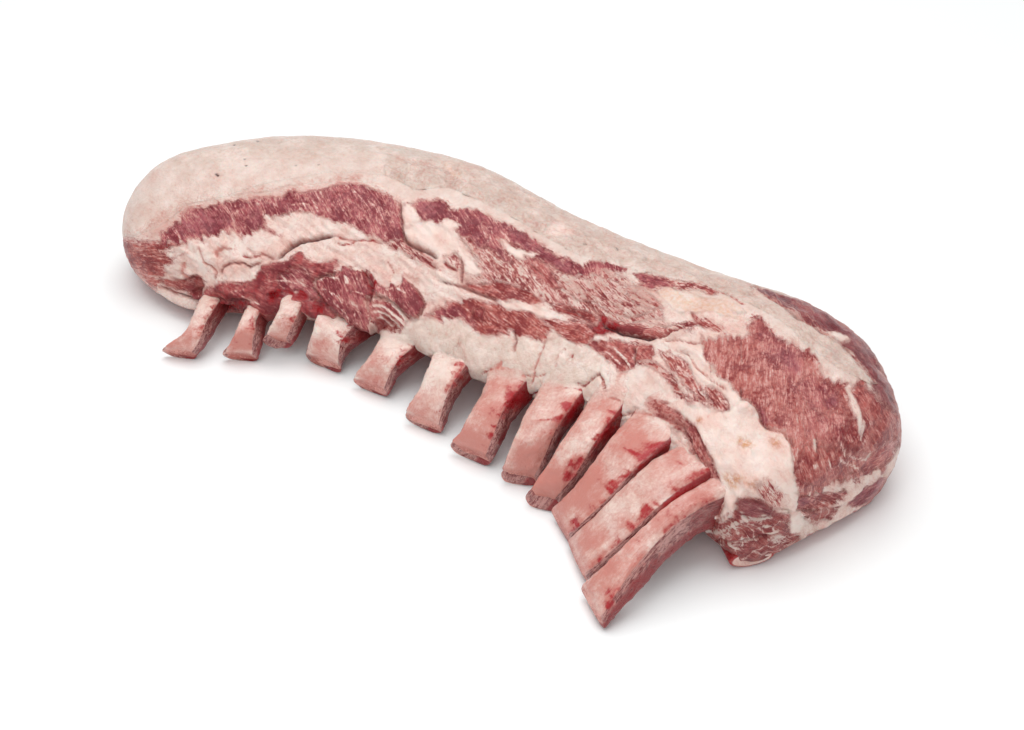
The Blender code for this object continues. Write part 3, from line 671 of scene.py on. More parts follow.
FLESH_CREASES = (
    # The left crack and the fine red lines that run on from it.
    Crease("277,260 283,253 290,246 300,241 313,239 322,236 335,236", 4.5, 2.3, 0.95, 0.2),
    Crease("240,254 250,257 258,256 262,253 270,257 277,260", 1.6, 1.6, 0.2, 0.5),
    Crease("262,262 250,266 243,262 230,262 222,266 219,276", 1.8, 1.7, 0.45, 0.2),
    Crease("335,236 345,238 358,240 372,240 385,244", 1.6, 1.7, 0.2, 0.6),
    Crease("336,242 343,244 350,243 356,240", 1.0, 1.5, 0.1, 0.6),
    Crease("204,262 211,266 216,272 214,281", 1.4, 1.5, 0.1, 0.4),
    Crease("216,257 216,250 224,247 234,249", 1.2, 2.0, 0.15, 0.1),
    Crease("246,246 252,250 256,255", 1.0, 1.8, 0.1, 0.3),
    Crease("199,246 202,256 206,264", 0.8, 1.6, 0.1, 0.2),
    Crease("185,262 182,272 186,280", 1.2, 2.5, 0.0, 0.1),
    Crease("180,281 190,279 199,280 202,287 198,294", 1.4, 1.8, 0.45, 0.6),
    Crease("161,287 172,293 185,298 204,300", 2.2, 1.6, 0.45, 0.3),
    # The crack in the middle.
    Crease("400,200 401,214 401,225 404,235 408,242", 3.0, 1.7, 0.6, 0.1),
    Crease("404,238 408,243 420,248 430,252 438,258", 3.6, 2.8, 0.75),
    Crease("408,250 420,257 430,264 437,270", 1.6, 1.8, 0.2, 0.5),
    Crease("443,262 449,268 457,271", 1.6, 2.0, 0.3, 0.8),
    Crease("418,248 424,254 434,260", 1.0, 1.3, 0.1, 0.4),
    Crease("388,262 392,268 393,274", 1.0, 1.3, 0.1, 0.4),
    Crease("461,258 461,272 461,284", 1.8, 1.5, 0.5, 0.2),
    Crease("436,280 450,284 461,287 475,291 490,296 502,301", 2.2, 1.8, 0.5, 0.1),
    Crease("530,262 536,268 545,277", 1.4, 1.6, 0.4, 0.2),
    # The deep seam.
    Crease("604,320 618,327 634,332 650,333 662,331", -2.2, 5.0),
    Crease("600,318 606,326 620,332 635,336 648,338 660,337", 3.0, 2.0, 1.1, 0.25),
    Crease("560,308 575,311 587,318 598,325", 1.6, 2.0, 0.4, 0.1),
    Crease("584,300 592,308 602,316", 2.0, 1.7, 0.2, 0.8),
    Crease("590,328 600,331 606,333", 1.2, 1.8, 0.1, 0.9),
    Crease("601,314 604,320 610,326 616,330", 0.8, 2.2, 0.0, 1.0),
    Crease("664,334 674,330 686,327 694,326", 0.6, 1.8, 0.0, 0.8),
    Crease("656,337 670,331 684,327 690,325", 3.0, 2.2, 0.5, 0.5),
    Crease("690,312 696,322 704,328", 1.4, 1.6, 0.2, 0.4),
    # Blood and strands over the first bones.
    Crease("274,292 286,290 298,293 309,299", 0.5, 3.4, 0.05, 0.7),
    Crease("309,299 318,304 326,311", 0.8, 2.6, 0.2, 0.9),
    Crease("225,308 232,311 241,313", 2.0, 2.8, 0.6, 1.0),
    Crease("254,309 264,303 276,298", 0.4, 2.4, 0.0, 0.7),
    Crease("208,300 216,304 224,306", 0.4, 2.4, 0.0, 0.7),
    Crease("366,272 371,277 377,284", 0.5, 2.2, 0.0, 1.0),
    Crease("322,309 325,312", 0.4, 2.2, 0.0, 1.0),
    Crease("243,296 252,300 262,302", -0.4, 1.0, white=0.7),
    Crease("262,284 274,280 286,280 298,284", -0.3, 1.0, white=0.45),
    Crease("284,268 292,274 300,282 306,290", -0.3, 1.0, white=0.4),
    Crease("296,262 304,268 312,276", -0.3, 1.0, white=0.45),
    Crease("232,292 240,290 250,288", -0.3, 0.9, white=0.35),
    Crease("210,290 224,284 240,284 256,278 266,265 282,264 296,256", 0.2, 2.0, 0.0, 0.35),
    # Edges of the flaps of lean over the bones.
    Crease("316,281 325,275 340,274 347,267 357,266", 1.2, 1.5, 0.3, 0.1),
    Crease("363,271 369,282 372,293 368,304", 2.2, 1.9, 0.5, 0.5),
    Crease("308,284 316,294 330,306 345,320 360,336", 2.5, 2.2, 0.5, 0.5),
    Crease("408,281 416,290 425,303 422,313 413,319", 1.8, 1.5, 0.4, 0.1),
    Crease("372,297 384,297 394,301 402,311 407,320", 1.6, 1.5, 0.4, 0.1),
    Crease("367,300 374,298 382,296 390,299 397,306 403,315 409,326", -0.9, 1.5, white=1.0),
    Crease("368,307 376,305 384,305 391,309 397,315 402,322 408,331", -0.8, 1.4, white=1.0),
    Crease("371,312 378,311 384,312 390,315 395,321 400,329", -0.7, 1.3, white=0.9),
    Crease("376,317 383,318 389,322 393,328", -0.5, 1.1, white=0.8),
    Crease("370,339 376,335 383,332 392,334 402,337 413,342", -1.0, 1.6, white=1.0),
    Crease("374,343 384,340 394,341 404,344", -0.6, 1.3, white=1.0),
    Crease("372,321 373,327 373,334", -0.8, 1.1, white=1.0),
    Crease("318,282 326,278 334,278 342,280", -0.5, 1.1, white=0.7),
    Crease("345,276 349,280 347,284", -0.4, 1.3, white=0.9),
    Crease("322,290 332,291 340,296 346,304", -0.3, 0.9, white=0.6),
    Crease("330,296 338,302 346,312 352,322", -0.3, 0.9, white=0.6),
    Crease("350,290 358,292 366,296", -0.3, 0.9, white=0.5),
    Crease("384,290 394,288 402,290 410,296", -0.3, 0.9, white=0.5),
    Crease("246,262 256,264 264,258 272,254", -0.5, 1.2, white=0.9),
    Crease("290,205 296,204 303,203 310,204", -0.2, 1.0, white=0.5),
    Crease("312,200 315,205 317,212", -0.2, 1.0, white=0.6),
    Crease("322,226 330,224 340,226", -0.2, 1.0, white=0.6),
    Crease("366,198 374,206 382,212", -0.2, 1.0, white=0.4),
    Crease("606,345 614,348 621,353 627,360 632,369", -0.8, 1.2, white=1.0),
    Crease("600,352 608,354 616,360 622,366", -0.4, 1.0, white=0.8),
    Crease("640,345 634,352 633,360", -0.4, 1.0, white=0.7),
    Crease("696,534 704,530 712,534 722,531 733,526 742,520 752,518 764,520 775,516", -0.6, 1.3, white=1.0),
    Crease("733,526 738,534 744,541 752,546", -0.5, 1.2, white=0.9),
    Crease("745,519 742,510 746,502", -0.5, 1.1, white=0.8),
    Crease("764,520 768,530 776,536 786,538", -0.5, 1.2, white=0.9),
    Crease("722,531 724,540 732,547 742,550", -0.5, 1.1, white=0.8),
    Crease("757,505 762,512 764,520", -0.4, 1.0, white=0.7),
    Crease("838,440 845,452 856,458 866,460 874,452", -0.3, 1.2, white=0.7),
    Crease("832,462 842,460 850,466 860,470", -0.3, 1.2, white=0.7),
    Crease("812,470 822,466 832,462", -0.3, 1.1, white=0.6),
    Crease("858,424 862,436 870,444 880,446 892,440", -0.3, 1.2, white=0.6),
    Crease("815,438 816,446 818,452", -0.5, 1.8, white=1.0),
    Crease("860,424 864,427 866,430", -0.5, 2.0, white=1.0),
    Crease("198,299 210,297 225,299 240,300 256,300", 2.0, 2.2, 0.5, 0.5),
    # Fine red cracks of the membrane.
    Crease("460,334 458,345 451,355 440,357 425,357 403,349", 1.5, 1.3, 0.15, 0.6),
    Crease("503,360 496,367 488,370 480,375", 1.4, 1.3, 0.1, 0.65),
    Crease("514,330 516,342 513,353", 1.8, 2.2, 0.45, 0.2),
    Crease("546,341 540,355 535,368 532,379 530,388", 1.3, 1.2, 0.1, 0.45),
    Crease("574,354 568,367 562,379", 1.5, 1.6, 0.15, 0.6),
    Crease("529,398 540,392 552,388 556,384", 1.5, 1.3, 0.15, 0.6),
    Crease("575,382 585,386 592,380 600,374 604,380 606,392", 2.0, 1.8, 0.4, 0.6),
    Crease("566,349 560,357 555,368", 0.8, 1.1, 0.1, 0.2),
    Crease("520,375 535,376 550,374", 0.9, 1.1, 0.0, 0.3),
    Crease("600,402 612,398 622,402", 1.0, 1.3, 0.1, 0.2),
    Crease("618,418 630,413 645,413 655,417", 1.6, 1.4, 0.1, 0.4),
    # Folds of the fat ridge right of the seam.
    Crease("668,336 680,331 692,329 704,333", -1.8, 4.0),
    Crease("662,341 680,341 694,343 706,341", 1.6, 1.6, 0.15, 0.35),
    Crease("672,349 686,353 694,362 704,372 716,382 728,392", 1.8, 1.7, 0.25),
    Crease("684,349 700,354 712,368 722,376", -1.6, 3.0),
    Crease("634,345 634,355 635,366", 1.8, 2.0, 0.6, 0.3),
    Crease("606,345 619,352 628,361 632,368", -0.9, 1.4),
    # Edge of the large muscle beside the white fat, and the knob.
    Crease("742,399 750,403 758,408 760,420 766,427 776,431 784,434 789,443", 1.6, 2.0, 0.1, 0.1),
    Crease("756,405 760,412 761,420 766,426 772,430", 1.6, 2.2, 0.5, 0.2),
    Crease("742,388 743,398", 2.0, 2.0, 0.7, 0.1),
    Crease("738,410 746,407 753,413", -2.6, 6.5),
    Crease("790,438 794,446", 1.6, 2.2, 0.5, 0.2),
    Crease("817,436 819,446 819,454", 1.2, 1.5, 0.5, 0.1),
    Crease("741,340 741,362", 1.4, 1.4, 0.4),
    Crease("757,288 768,297 780,304 797,315 812,326 835,340", 1.2, 1.6, 0.35),
    Crease("720,290 735,298 746,305", 1.0, 1.6, 0.1, 0.4),
    # Layers of the red strip.
    Crease("652,404 666,403 677,411 688,421 697,433 704,449 711,460 717,478 724,497", 1.6, 1.4, 0.3, 0.3),
    Crease("654,414 666,419 680,427 689,440 696,455 703,470 709,490 718,512", 1.8, 1.5, 0.35, 0.4),
    Crease("660,409 675,417 687,430 694,445 704,462 711,480", -0.8, 1.3),
    # Cut flesh at the bottom.
    Crease("700,527 712,524 722,518 732,512", 1.6, 2.0, 0.2, 0.3),
    Crease("700,545 720,541 742,542 765,539 780,532", 1.8, 1.8, 0.4, 0.1),
    Crease("799,514 812,514 830,508 846,500 858,490 872,478 886,466 896,450", -0.8, 3.0),
)


@dataclass(frozen=True)
class Painter:
    """Lays patches and creases onto a surface from the view.

    Sizes are in millimetres or in pixels of the view.
    """

    sight: Sight
    patches: tuple[Patch, ...]
    creases: tuple[Crease, ...]
    ground: Tissue
    hidden: Tissue
    seed: int = 5
    turn: float = 35.0
    fingers: float = 2.2
    flush: float = 0.8
    flush_depth: float = 0.7
    margin: float = 12.0
    wander: float = 11.0
    finger_cell: Row = (4.6, 30.0)
    finger_share: float = 24.0
    edge_wander: float = 1.7
    edge_blur: float = 1.35
    crease_wander: float = 2.2
    crease_fat: float = 1.25
    blot: float = 3.2
    crumple_cell: Row = (4.2, 1.7)
    crumple_height: float = 2.4
    bend: Row = (38.0, 2.6)
    pixel: float = 0.55
    stretch: float = 0.20

    def spread(self, tissue: Tissue, count: int, rim: Optional[Array]) -> Channels:
        """The shares of one tissue at every point, with those of the fat cap near its rim."""
        made = {name: np.full(count, getattr(tissue, name)) for name in CHANNELS}
        if rim is not None:
            for name in CHANNELS:
                made[name] += (getattr(Kind.CAP.value, name) - made[name]) * rim
        return made

    def close(self, marks: Array, view: Array, seen: Array) -> Array:
        """The numbers of the seen points that lie near some places in the view."""
        low, high = marks.min(0) - self.margin, marks.max(0) + self.margin
        return np.nonzero(((view > low) & (view < high)).all(1) & (seen > 0))[0]

    def lay_patches(self, made: Channels, points: Array, view: Array, seen: Array, wander: Array) -> Array:
        """Lays the patches into the channels.

        Args:
            made: The channels, changed in place.
            points: Points in millimetres.
            view: Their places in the view.
            seen: How well the camera sees each point.
            wander: How the edges wander at each point.

        Returns:
            The way of the fibres at each point, in degrees.
        """
        turn = np.full(len(points), self.turn)
        jag = Lattice(self.seed + 7)
        for patch in self.patches:
            outline = places(patch.outline)
            near = self.close(outline, view, seen)
            if len(near) == 0:
                continue
            angle = math.radians(patch.turn)
            way = np.array([math.cos(angle), math.sin(angle)])
            side = np.array([-math.sin(angle), math.cos(angle)])
            spot = view[near]
            wide, long = self.finger_cell
            cells = np.stack([spot @ side / wide, spot @ way / long, np.full(len(near), patch.turn)], -1)
            fingers = jag.sample(cells) * 0.9 + jag.sample(cells * (2.3, 1.6, 1.0) + 9) * 0.7
            fingers *= 0.7 + 0.9 * jag.sample(points[near] / self.finger_share)
            reach = np.outer(fingers * patch.ragged * self.fingers, way)
            spot = spot + wander[near] * patch.ragged * self.edge_wander + reach
            blur = patch.soft * self.edge_blur
            weight = smooth(-blur, blur, inside_distance(spot, outline))
            step = np.abs(patch.kind.value.fat - made["fat"][near])
            for name in CHANNELS:
                made[name][near] += (getattr(patch.kind.value, name) - made[name][near]) * weight
            border = weight * (1 - weight) * min(1.0, patch.ragged) * smooth(0.3, 0.8, step)
            made["streak"][near] += 1.6 * border
            made["rosy"][near] += 1.1 * border
            turn[near] = np.where(weight > 0.5, patch.turn, turn[near])
        return turn

    def lay_creases(self, made: Channels, view: Array, seen: Array, wander: Array) -> Array:
        """Lays the creases into the channels.

        Args:
            made: The channels, changed in place.
            view: Places of the points in the view.
            seen: How well the camera sees each point.
            wander: How the creases wander at each point.

        Returns:
            The depth at each point in millimetres.
        """
        depth = np.zeros(len(view))
        for crease in self.creases:
            line = places(crease.line)
            near = self.close(line, view, seen)
            if len(near) == 0:
                continue
            far, share = line_distance(view[near] + wander[near] * self.crease_wander, line)
            thin = smooth(0.0, 0.12, share) * smooth(0.0, 0.12, 1 - share) * 0.8 + 0.2
            width = crease.width * (0.55 + 0.45 * thin)
            shape = np.exp(-((far / (width * 0.8)) ** 2)) * thin
            core = np.exp(-((far / (width * 0.55)) ** 2)) * thin
            depth[near] += crease.depth * shape
            # Painted shade along the crease's core.
            made["dark"][near] = np.maximum(made["dark"][near], crease.dark * core)
            made["blood"][near] = np.maximum(made["blood"][near], crease.blood * shape)
            if crease.white:
                made["fat"][near] += (self.crease_fat - made["fat"][near]) * shape * crease.white
            elif crease.depth > self.flush_depth:
                made["rosy"][near] += shape * self.flush
        return depth

    def lay(self, points: Array, normals: Array, rim: Optional[Array] = None) -> tuple[Channels, Array]:
        """Works out the tissue at points of the surface.

        Args:
            points: Points in millimetres.
            normals: Their normals.
            rim: How near the fat cap each point is, from 0 to 1.

        Returns:
            The channels by name and the grain vector of each point.
        """
        seen = smooth(0.02, 0.22, self.sight.facing(points, normals))
        view = self.sight.project(points)
        wander = np.stack([Lattice(self.seed + k).clouds(points, self.wander, 4) for k in range(2)], -1)
        made = self.spread(self.ground, len(points), rim)
        turn = self.lay_patches(made, points, view, seen, wander)
        made["height"] -= self.lay_creases(made, view, seen, wander)
        made["blood"] *= np.clip(0.80 + 1.7 * Lattice(77).clouds(points, self.blot, 3), 0.1, 1.4)
        behind = self.spread(self.hidden, len(points), rim)
        for name in CHANNELS:
            made[name] = made[name] * seen + behind[name] * (1 - seen)
        grain = self.grain(points, view, turn, seen)
        cells = grain * (1 / self.crumple_cell[0], 1 / self.crumple_cell[1], 1.0)
        crumple = np.abs(Lattice(51).sample(cells)) + 0.5 * np.abs(Lattice(52).sample(cells * 2.0))
        made["height"] += (0.45 - crumple) * self.crumple_height * made["folds"]
        return made, grain

    def grain(self, points: Array, view: Array, turn: Array, seen: Array) -> Array:
        """Coordinates across and along the fibres, in millimetres.

        Args:
            points: Points in millimetres.
            view: Their places in the view.
            turn: The way of the fibres in the view, in degrees.
            seen: How well the camera sees each point.

        Returns:
            Across, along and a number of its own for each way of the fibres.
        """
        angle = np.radians(turn)
        x, y = view[:, 0] * self.pixel, view[:, 1] * self.pixel
        bend = Lattice(31).clouds(points, self.bend[0], 2) * self.bend[1]
        across = -x * np.sin(angle) + y * np.cos(angle) + bend
        along = x * np.cos(angle) + y * np.sin(angle)
        front = np.stack([across, along * self.stretch, turn * 0.37], -1)
        rear = np.stack([points[:, 2] + bend, points[:, 0] * self.stretch, points[:, 1] * 0.3], -1)
        return np.where(seen[:, None] > 0.3, front, rear)


Node = bpy.types.ShaderNode
Link = bpy.types.NodeSocket


class Value:
    """A number that varies over a surface and takes part in sums."""

    def __init__(self, net: "Net", socket: Link) -> None:
        """Wraps an output socket."""
        self.net = net
        self.socket = socket

    def _sum(self, operation: str, first: Any, second: Any) -> "Value":
        """One Math node."""
        node = self.net.add("ShaderNodeMath", {"operation": operation}, {0: first, 1: second})
        return Value(self.net, node.outputs[0])

    def __add__(self, other: Any) -> "Value":
        """Sum."""
        return self._sum("ADD", self, other)

    __radd__ = __add__

    def __mul__(self, other: Any) -> "Value":
        """Product."""
        return self._sum("MULTIPLY", self, other)

    __rmul__ = __mul__

    def __sub__(self, other: Any) -> "Value":
        """Difference."""
        return self._sum("SUBTRACT", self, other)

    def __rsub__(self, other: Any) -> "Value":
        """Difference the other way round."""
        return self._sum("SUBTRACT", other, self)

    def rise(self, low: float, high: float) -> "Value":
        """Rises smoothly from 0 at low to 1 at high."""
        settings = {"interpolation_type": "SMOOTHSTEP"}
        node = self.net.add("ShaderNodeMapRange", settings, {0: self, 1: low, 2: high})
        return Value(self.net, node.outputs[0])

    def size(self) -> "Value":
        """Without its sign."""
        return self._sum("ABSOLUTE", self, 0.0)

    def clamp(self) -> "Value":
        """Held between 0 and 1."""
        return Value(self.net, self.net.add("ShaderNodeClamp", {}, {0: self}).outputs[0])


class Net:
    """The nodes of one finish."""

    def __init__(self, name: str) -> None:
        """Makes an empty material with its shader."""
        self.material = bpy.data.materials.new(name)
        self.material.use_nodes = True
        self.tree = self.material.node_tree
        self.shader = self.tree.nodes["Principled BSDF"]
        self.place = self.add("ShaderNodeTexCoord", {}, {}).outputs["Object"]

    def add(self, kind: str, settings: dict[str, Any], sockets: dict[Any, Any]) -> Node:
        """Adds a node.

        Args:
            kind: The node's type.
            settings: Its settings, set first.
            sockets: Values or links of its inputs, by name or number.

        Returns:
            The node.
        """
        node = self.tree.nodes.new(kind)
        for name, value in settings.items():
            setattr(node, name, value)
        for key, value in sockets.items():
            self.feed(node.inputs[key], value)
        return node

    def feed(self, socket: Link, value: Any) -> None:
        """Links or sets an input."""
        if isinstance(value, Value):
            value = value.socket
        if isinstance(value, bpy.types.NodeSocket):
            self.tree.links.new(value, socket)
        elif isinstance(value, tuple) and len(value) == 3 and socket.type == "RGBA":
            socket.default_value = (*value, 1.0)
        else:
            socket.default_value = value

    def noise(self, where: Link, scale: float, detail: float = 3.0, rough: float = 0.55,
              warp: float = 0.0) -> Value:
        """Noise from 0 to 1."""
        sockets = {"Vector": where, "Scale": scale, "Detail": detail, "Roughness": rough, "Distortion": warp}
        node = self.add("ShaderNodeTexNoise", {}, sockets)
        return Value(self, node.outputs["Fac"])

    def channels(self, name: str) -> tuple[Value, Value, Value]:
        """The three numbers of an attribute of the mesh."""
        node = self.add("ShaderNodeAttribute", {"attribute_name": name}, {})
        parts = self.add("ShaderNodeSeparateXYZ", {}, {0: node.outputs["Vector"]})
        return tuple(Value(self, out) for out in parts.outputs)

    def vector(self, name: str) -> Link:
        """An attribute of the mesh as a vector."""
        return self.add("ShaderNodeAttribute", {"attribute_name": name}, {}).outputs["Vector"]

    def mix(self, share: Any, first: Any, second: Any) -> Link:
        """A colour between two."""
        node = self.add("ShaderNodeMix", {"data_type": "RGBA"}, {0: share, 6: first, 7: second})
        return node.outputs[2]

    def bump(self, height: Value, strength: float, distance: float) -> Link:
        """A normal from a height."""
        node = self.add("ShaderNodeBump", {}, {"Strength": strength, "Distance": distance, "Height": height})
        return node.outputs[0]

    def wear(self, colour: Link, rough: Value, normal: Link, soft: float, soft_size: float,
             coat: float) -> None:
        """Feeds the shader.

        Args:
            colour: Base colour.
            rough: Roughness.
            normal: Normal.
            soft: Share of light that goes through the tissue.
            soft_size: How far that light goes, in metres.
            coat: Wet coat.
        """
        self.feed(self.shader.inputs["Base Color"], colour)
        self.feed(self.shader.inputs["Roughness"], rough)
        self.feed(self.shader.inputs["Normal"], normal)
        self.shader.inputs["Subsurface Weight"].default_value = soft
        self.shader.inputs["Subsurface Radius"].default_value = SCATTER
        self.shader.inputs["Subsurface Scale"].default_value = soft_size
        self.shader.inputs["Coat Weight"].default_value = coat
        self.shader.inputs["Coat Roughness"].default_value = WET_ROUGHNESS


@dataclass(frozen=True)
class TissueFinish:
    """Raw flesh, fat and bone skin: colours of each tissue and how they mingle."""

    name: str
    cream: Colour = tint(244, 223, 213)
    warm: Colour = tint(236, 203, 191)
    rose: Colour = tint(206, 132, 120)
    blush: Colour = tint(204, 138, 130)
    straw: Colour = tint(224, 160, 98)
    lilac: Colour = tint(221, 202, 190)
    red: Colour = tint(134, 24, 26)
    red_light: Colour = tint(194, 92, 80)
    plum: Colour = tint(124, 22, 42)
    plum_light: Colour = tint(180, 86, 98)
    fibre: Colour = tint(224, 166, 150)
    bleeding: Colour = tint(172, 2, 18)
    # Colour of the dark share: painted shade in creases and hollows, and the own dark of dark lean and clotted
    # blood.
    shade: Colour = tint(64, 14, 14)
    side: Colour = tint(122, 36, 38)
    side_light: Colour = tint(204, 152, 144)
    marrow: Colour = tint(180, 98, 88)
    cut_light: Colour = tint(222, 158, 146)
    veil: Colour = tint(184, 102, 92)
    smoke: Colour = tint(194, 158, 136)
    coat: float = 0.22
    skin_rough: float = 0.40
    speckle: float = 1.0
    soft: float = 0.30
    soft_size: float = 0.0026
    bump: float = 0.85
    bump_depth: float = 0.0012
    # Lumps of the noises, in lumps per metre.
    fine: float = 450
    small: float = 1000
    broad: float = 80
    vein: float = 120
    mesh: float = 210
    web: float = 70

    def build(self) -> bpy.types.Material:
        """Makes the material."""
        net = Net(self.name)
        flank, cut, folds = net.channels("bone")
        fat, streak, web = net.channels("tissue")
        blood, dark, purple = net.channels("stain")
        yellow, film, rosy = net.channels("tone")
        grain = net.vector("grain")
        fine = net.noise(net.place, self.fine, 5, 0.65)
        small = net.noise(net.place, self.small, 3, 0.65)
        broad = net.noise(net.place, self.broad, 3)
        threads = net.noise(grain, 1.6, 5, 0.7, 0.9)
        strands = net.noise(grain, 0.50, 4, 0.65, 1.2)
        vein = net.noise(net.place, self.vein, 3, 0.55, 1.6)
        other = net.noise(net.place, self.mesh, 2, 0.5, 1.2)
        wide = net.noise(net.place, self.web, 1.5, 0.5, 0.7)
        veins = (1 - (wide - 0.5).size() * 22).clamp() + (1 - (other - 0.5).size() * 15).clamp() * 0.6
        share = fat + (threads - 0.5) * (streak * 2.6 + 0.25) + (strands - 0.5) * (streak * 3.0 + 0.15)
        share = share + (fine - 0.5) * (streak * 0.8 + 0.55) + (broad - 0.5) * streak * 1.0
        share = share + veins * web * 0.6
        low, high = share.rise(0.16, 0.56), share.rise(0.46, 0.88)
        # Lean flesh: red or plum, under a veil of thin skin.
        tone = (broad + (fine - 0.5) * 0.8 + (strands - 0.5) * 0.8).rise(0.30, 0.72)
        lean = net.mix(tone, self.red, self.red_light)
        lean = net.mix(purple, lean, net.mix(tone, self.plum, self.plum_light))
        lean = net.mix(film * (broad + fine).rise(0.75, 1.15), lean, self.veil)
        # Marbling of the lean, then the fat with its veins and pink tones.
        medium = net.noise(grain, 0.95, 3, 0.6, 0.8)
        flecks = threads.rise(0.50, 0.68) * 0.55 + medium.rise(0.54, 0.68) * 0.6
        flecks = flecks + small.rise(0.56, 0.76) * 0.3
        marbling = (flecks * (broad + (strands - 0.5)).rise(0.34, 0.68) * (streak + 0.45)).clamp()
        lean = net.mix(marbling, lean, self.fibre)
        pale = net.mix(broad.rise(0.35, 0.68), self.cream, self.warm)
        pale = net.mix(yellow * fine.rise(0.35, 0.65), pale, self.straw)
        pale = net.mix(film * broad.rise(0.25, 0.60), pale, self.lilac)
        mottle = (fine * 0.35 + vein * 0.3 + other * 0.35).rise(0.44, 0.66)
        pale = net.mix(film * mottle * 0.5, pale, self.smoke)
        pink = (broad - 0.5) * 0.9 + (fine - 0.5) * 0.8 + (threads - 0.5) * 1.0 + (strands - 0.5) * 0.9
        pink = rosy * 0.9 + pink * self.speckle
        pale = net.mix(pink.rise(0.12, 1.05), pale, self.rose)
        lines = (1 - (vein - 0.5).size() * 24).clamp()
        pale = net.mix(lines * rosy.rise(0.0, 0.3) * 0.4, pale, self.rose)
        colour = net.mix(high, net.mix(low, lean, self.blush), pale)
        # The sides and sawn ends of the bones.
        sawn = (threads + (strands - 0.5) * 0.8 + (fine - 0.5) * 0.5).rise(0.36, 0.62)
        wall = net.mix(sawn, self.side, self.side_light)
        colour = net.mix((flank + (fine - 0.5) * 0.45).rise(0.30, 0.70), colour, wall)
        core = net.mix((small + (broad - 0.5)).rise(0.36, 0.66), self.marrow, self.cut_light)
        colour = net.mix(cut, colour, core)
        # Blood, then the dark share: painted shade in creases, hollows and at the rib roots, and the own dark
        # of dark lean and clotted blood; then gloss and fine relief.
        some = blood.rise(0.0, 0.3)
        stain = blood + (fine - 0.5) * 1.4 * some + (threads - 0.5) * 1.0 * some
        colour = net.mix(stain.rise(0.12, 0.85), colour, self.bleeding)
        colour = net.mix((dark * (fine * 0.6 + 0.7)).clamp(), colour, self.shade)
        rough = (self.skin_rough + high * 0.12 - blood * 0.15 + (fine - 0.5) * 0.4).clamp()
        crumple = ((vein - 0.5).size() * 2.0 + (threads - 0.5).size() * 1.4) * folds
        height = crumple * 0.6 + fine * (0.9 - high * 0.3) + small * 0.4
        height = height + (strands - 0.5) * streak * 0.9 + (threads - 0.5) * streak * 0.6
        normal = net.bump(height, self.bump, self.bump_depth)
        net.wear(colour, rough, normal, self.soft, self.soft_size, self.coat)
        return net.material


def grid_normals(points: Array, closed: bool = True) -> Array:
    """Outward normals of a grid of points in rings.

    Args:
        points: Points by ring, place round it and x y z.
        closed: Whether each ring closes on itself.

    Returns:
        A normal for each point.
    """
    along = np.gradient(points, axis=0)
    around = np.roll(points, -1, 1) - np.roll(points, 1, 1) if closed else np.gradient(points, axis=1)
    normal = np.cross(along, around)
    length = np.linalg.norm(normal, axis=2, keepdims=True)
    normal = normal / np.maximum(length, 1e-9)
    middle = points.mean(axis=1, keepdims=True)
    return normal * np.sign(((points - middle) * normal).sum(2).mean())


def tube_mesh(name: str, rings: Array, attributes: Channels) -> bpy.types.Object:
    """An object of one closed tube.

    Args:
        name: The object's name.
        rings: Rings of points in millimetres.
        attributes: Three numbers for each point, by the name of the attribute.

    Returns:
        The object.
    """
    count, sides = rings.shape[:2]
    flat = rings.reshape(-1, 3)
    ends = np.array([rings[0].mean(0), rings[-1].mean(0)])
    verts = np.vstack([flat, ends]) * MM
    index = np.arange(count * sides).reshape(count, sides)
    a, b = index[:-1], index[1:]
    quads = np.stack([a, np.roll(a, -1, 1), np.roll(b, -1, 1), b], -1).reshape(-1, 4)
    first, last = count * sides, count * sides + 1
    start = [(first, int(j), int(i)) for i, j in zip(index[0], np.roll(index[0], -1))]
    stop = [(last, int(i), int(j)) for i, j in zip(index[-1], np.roll(index[-1], -1))]
    mesh = bpy.data.meshes.new(name)
    mesh.from_pydata(verts.tolist(), [], quads.tolist() + start + stop)
    for key, values in attributes.items():
        values = np.vstack([values, values[:sides].mean(0), values[-sides:].mean(0)])
        layer = mesh.attributes.new(key, "FLOAT_VECTOR", "POINT")
        layer.data.foreach_set("vector", values.astype(np.float32).ravel())
    side = mesh.polygons[(count // 2) * sides]
    if (np.array(side.center) - rings[count // 2].mean(0) * MM) @ np.array(side.normal) < 0:
        mesh.flip_normals()
    mesh.polygons.foreach_set("use_smooth", np.ones(len(mesh.polygons), bool))
    mesh.update()
    obj = bpy.data.objects.new(name, mesh)
    bpy.context.scene.collection.objects.link(obj)
    return obj


def lumps(points: Array) -> Array:
    """The small unevenness of flesh and fat at points, in millimetres."""
    return Lattice(11).clouds(points, 9.0, 3) * 0.55 + Lattice(12).clouds(points, 3.5, 2) * 0.22


def finish_piece(name: str, rings: Array, lift: float, attributes: Channels, material: bpy.types.Material,
                 slot: str, *nodes: str) -> bpy.types.Object:
    """Makes a piece, dresses it, puts it on the part's body and has it stand for its nodes.

    Args:
        name: The piece's name.
        rings: Rings of points in millimetres.
        lift: Least height over the floor in millimetres.
        attributes: Three numbers for each point, by the name of the attribute.
        material: Its finish.
        slot: Not used.
        nodes: The part's nodes that it stands for.

    Returns:
        The object.
    """
    rings[..., 2] = np.maximum(rings[..., 2], lift)
    obj = tube_mesh(name, rings, attributes)
    obj.data.materials.append(material)
    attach(obj, "root")
    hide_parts(*nodes)
    return obj


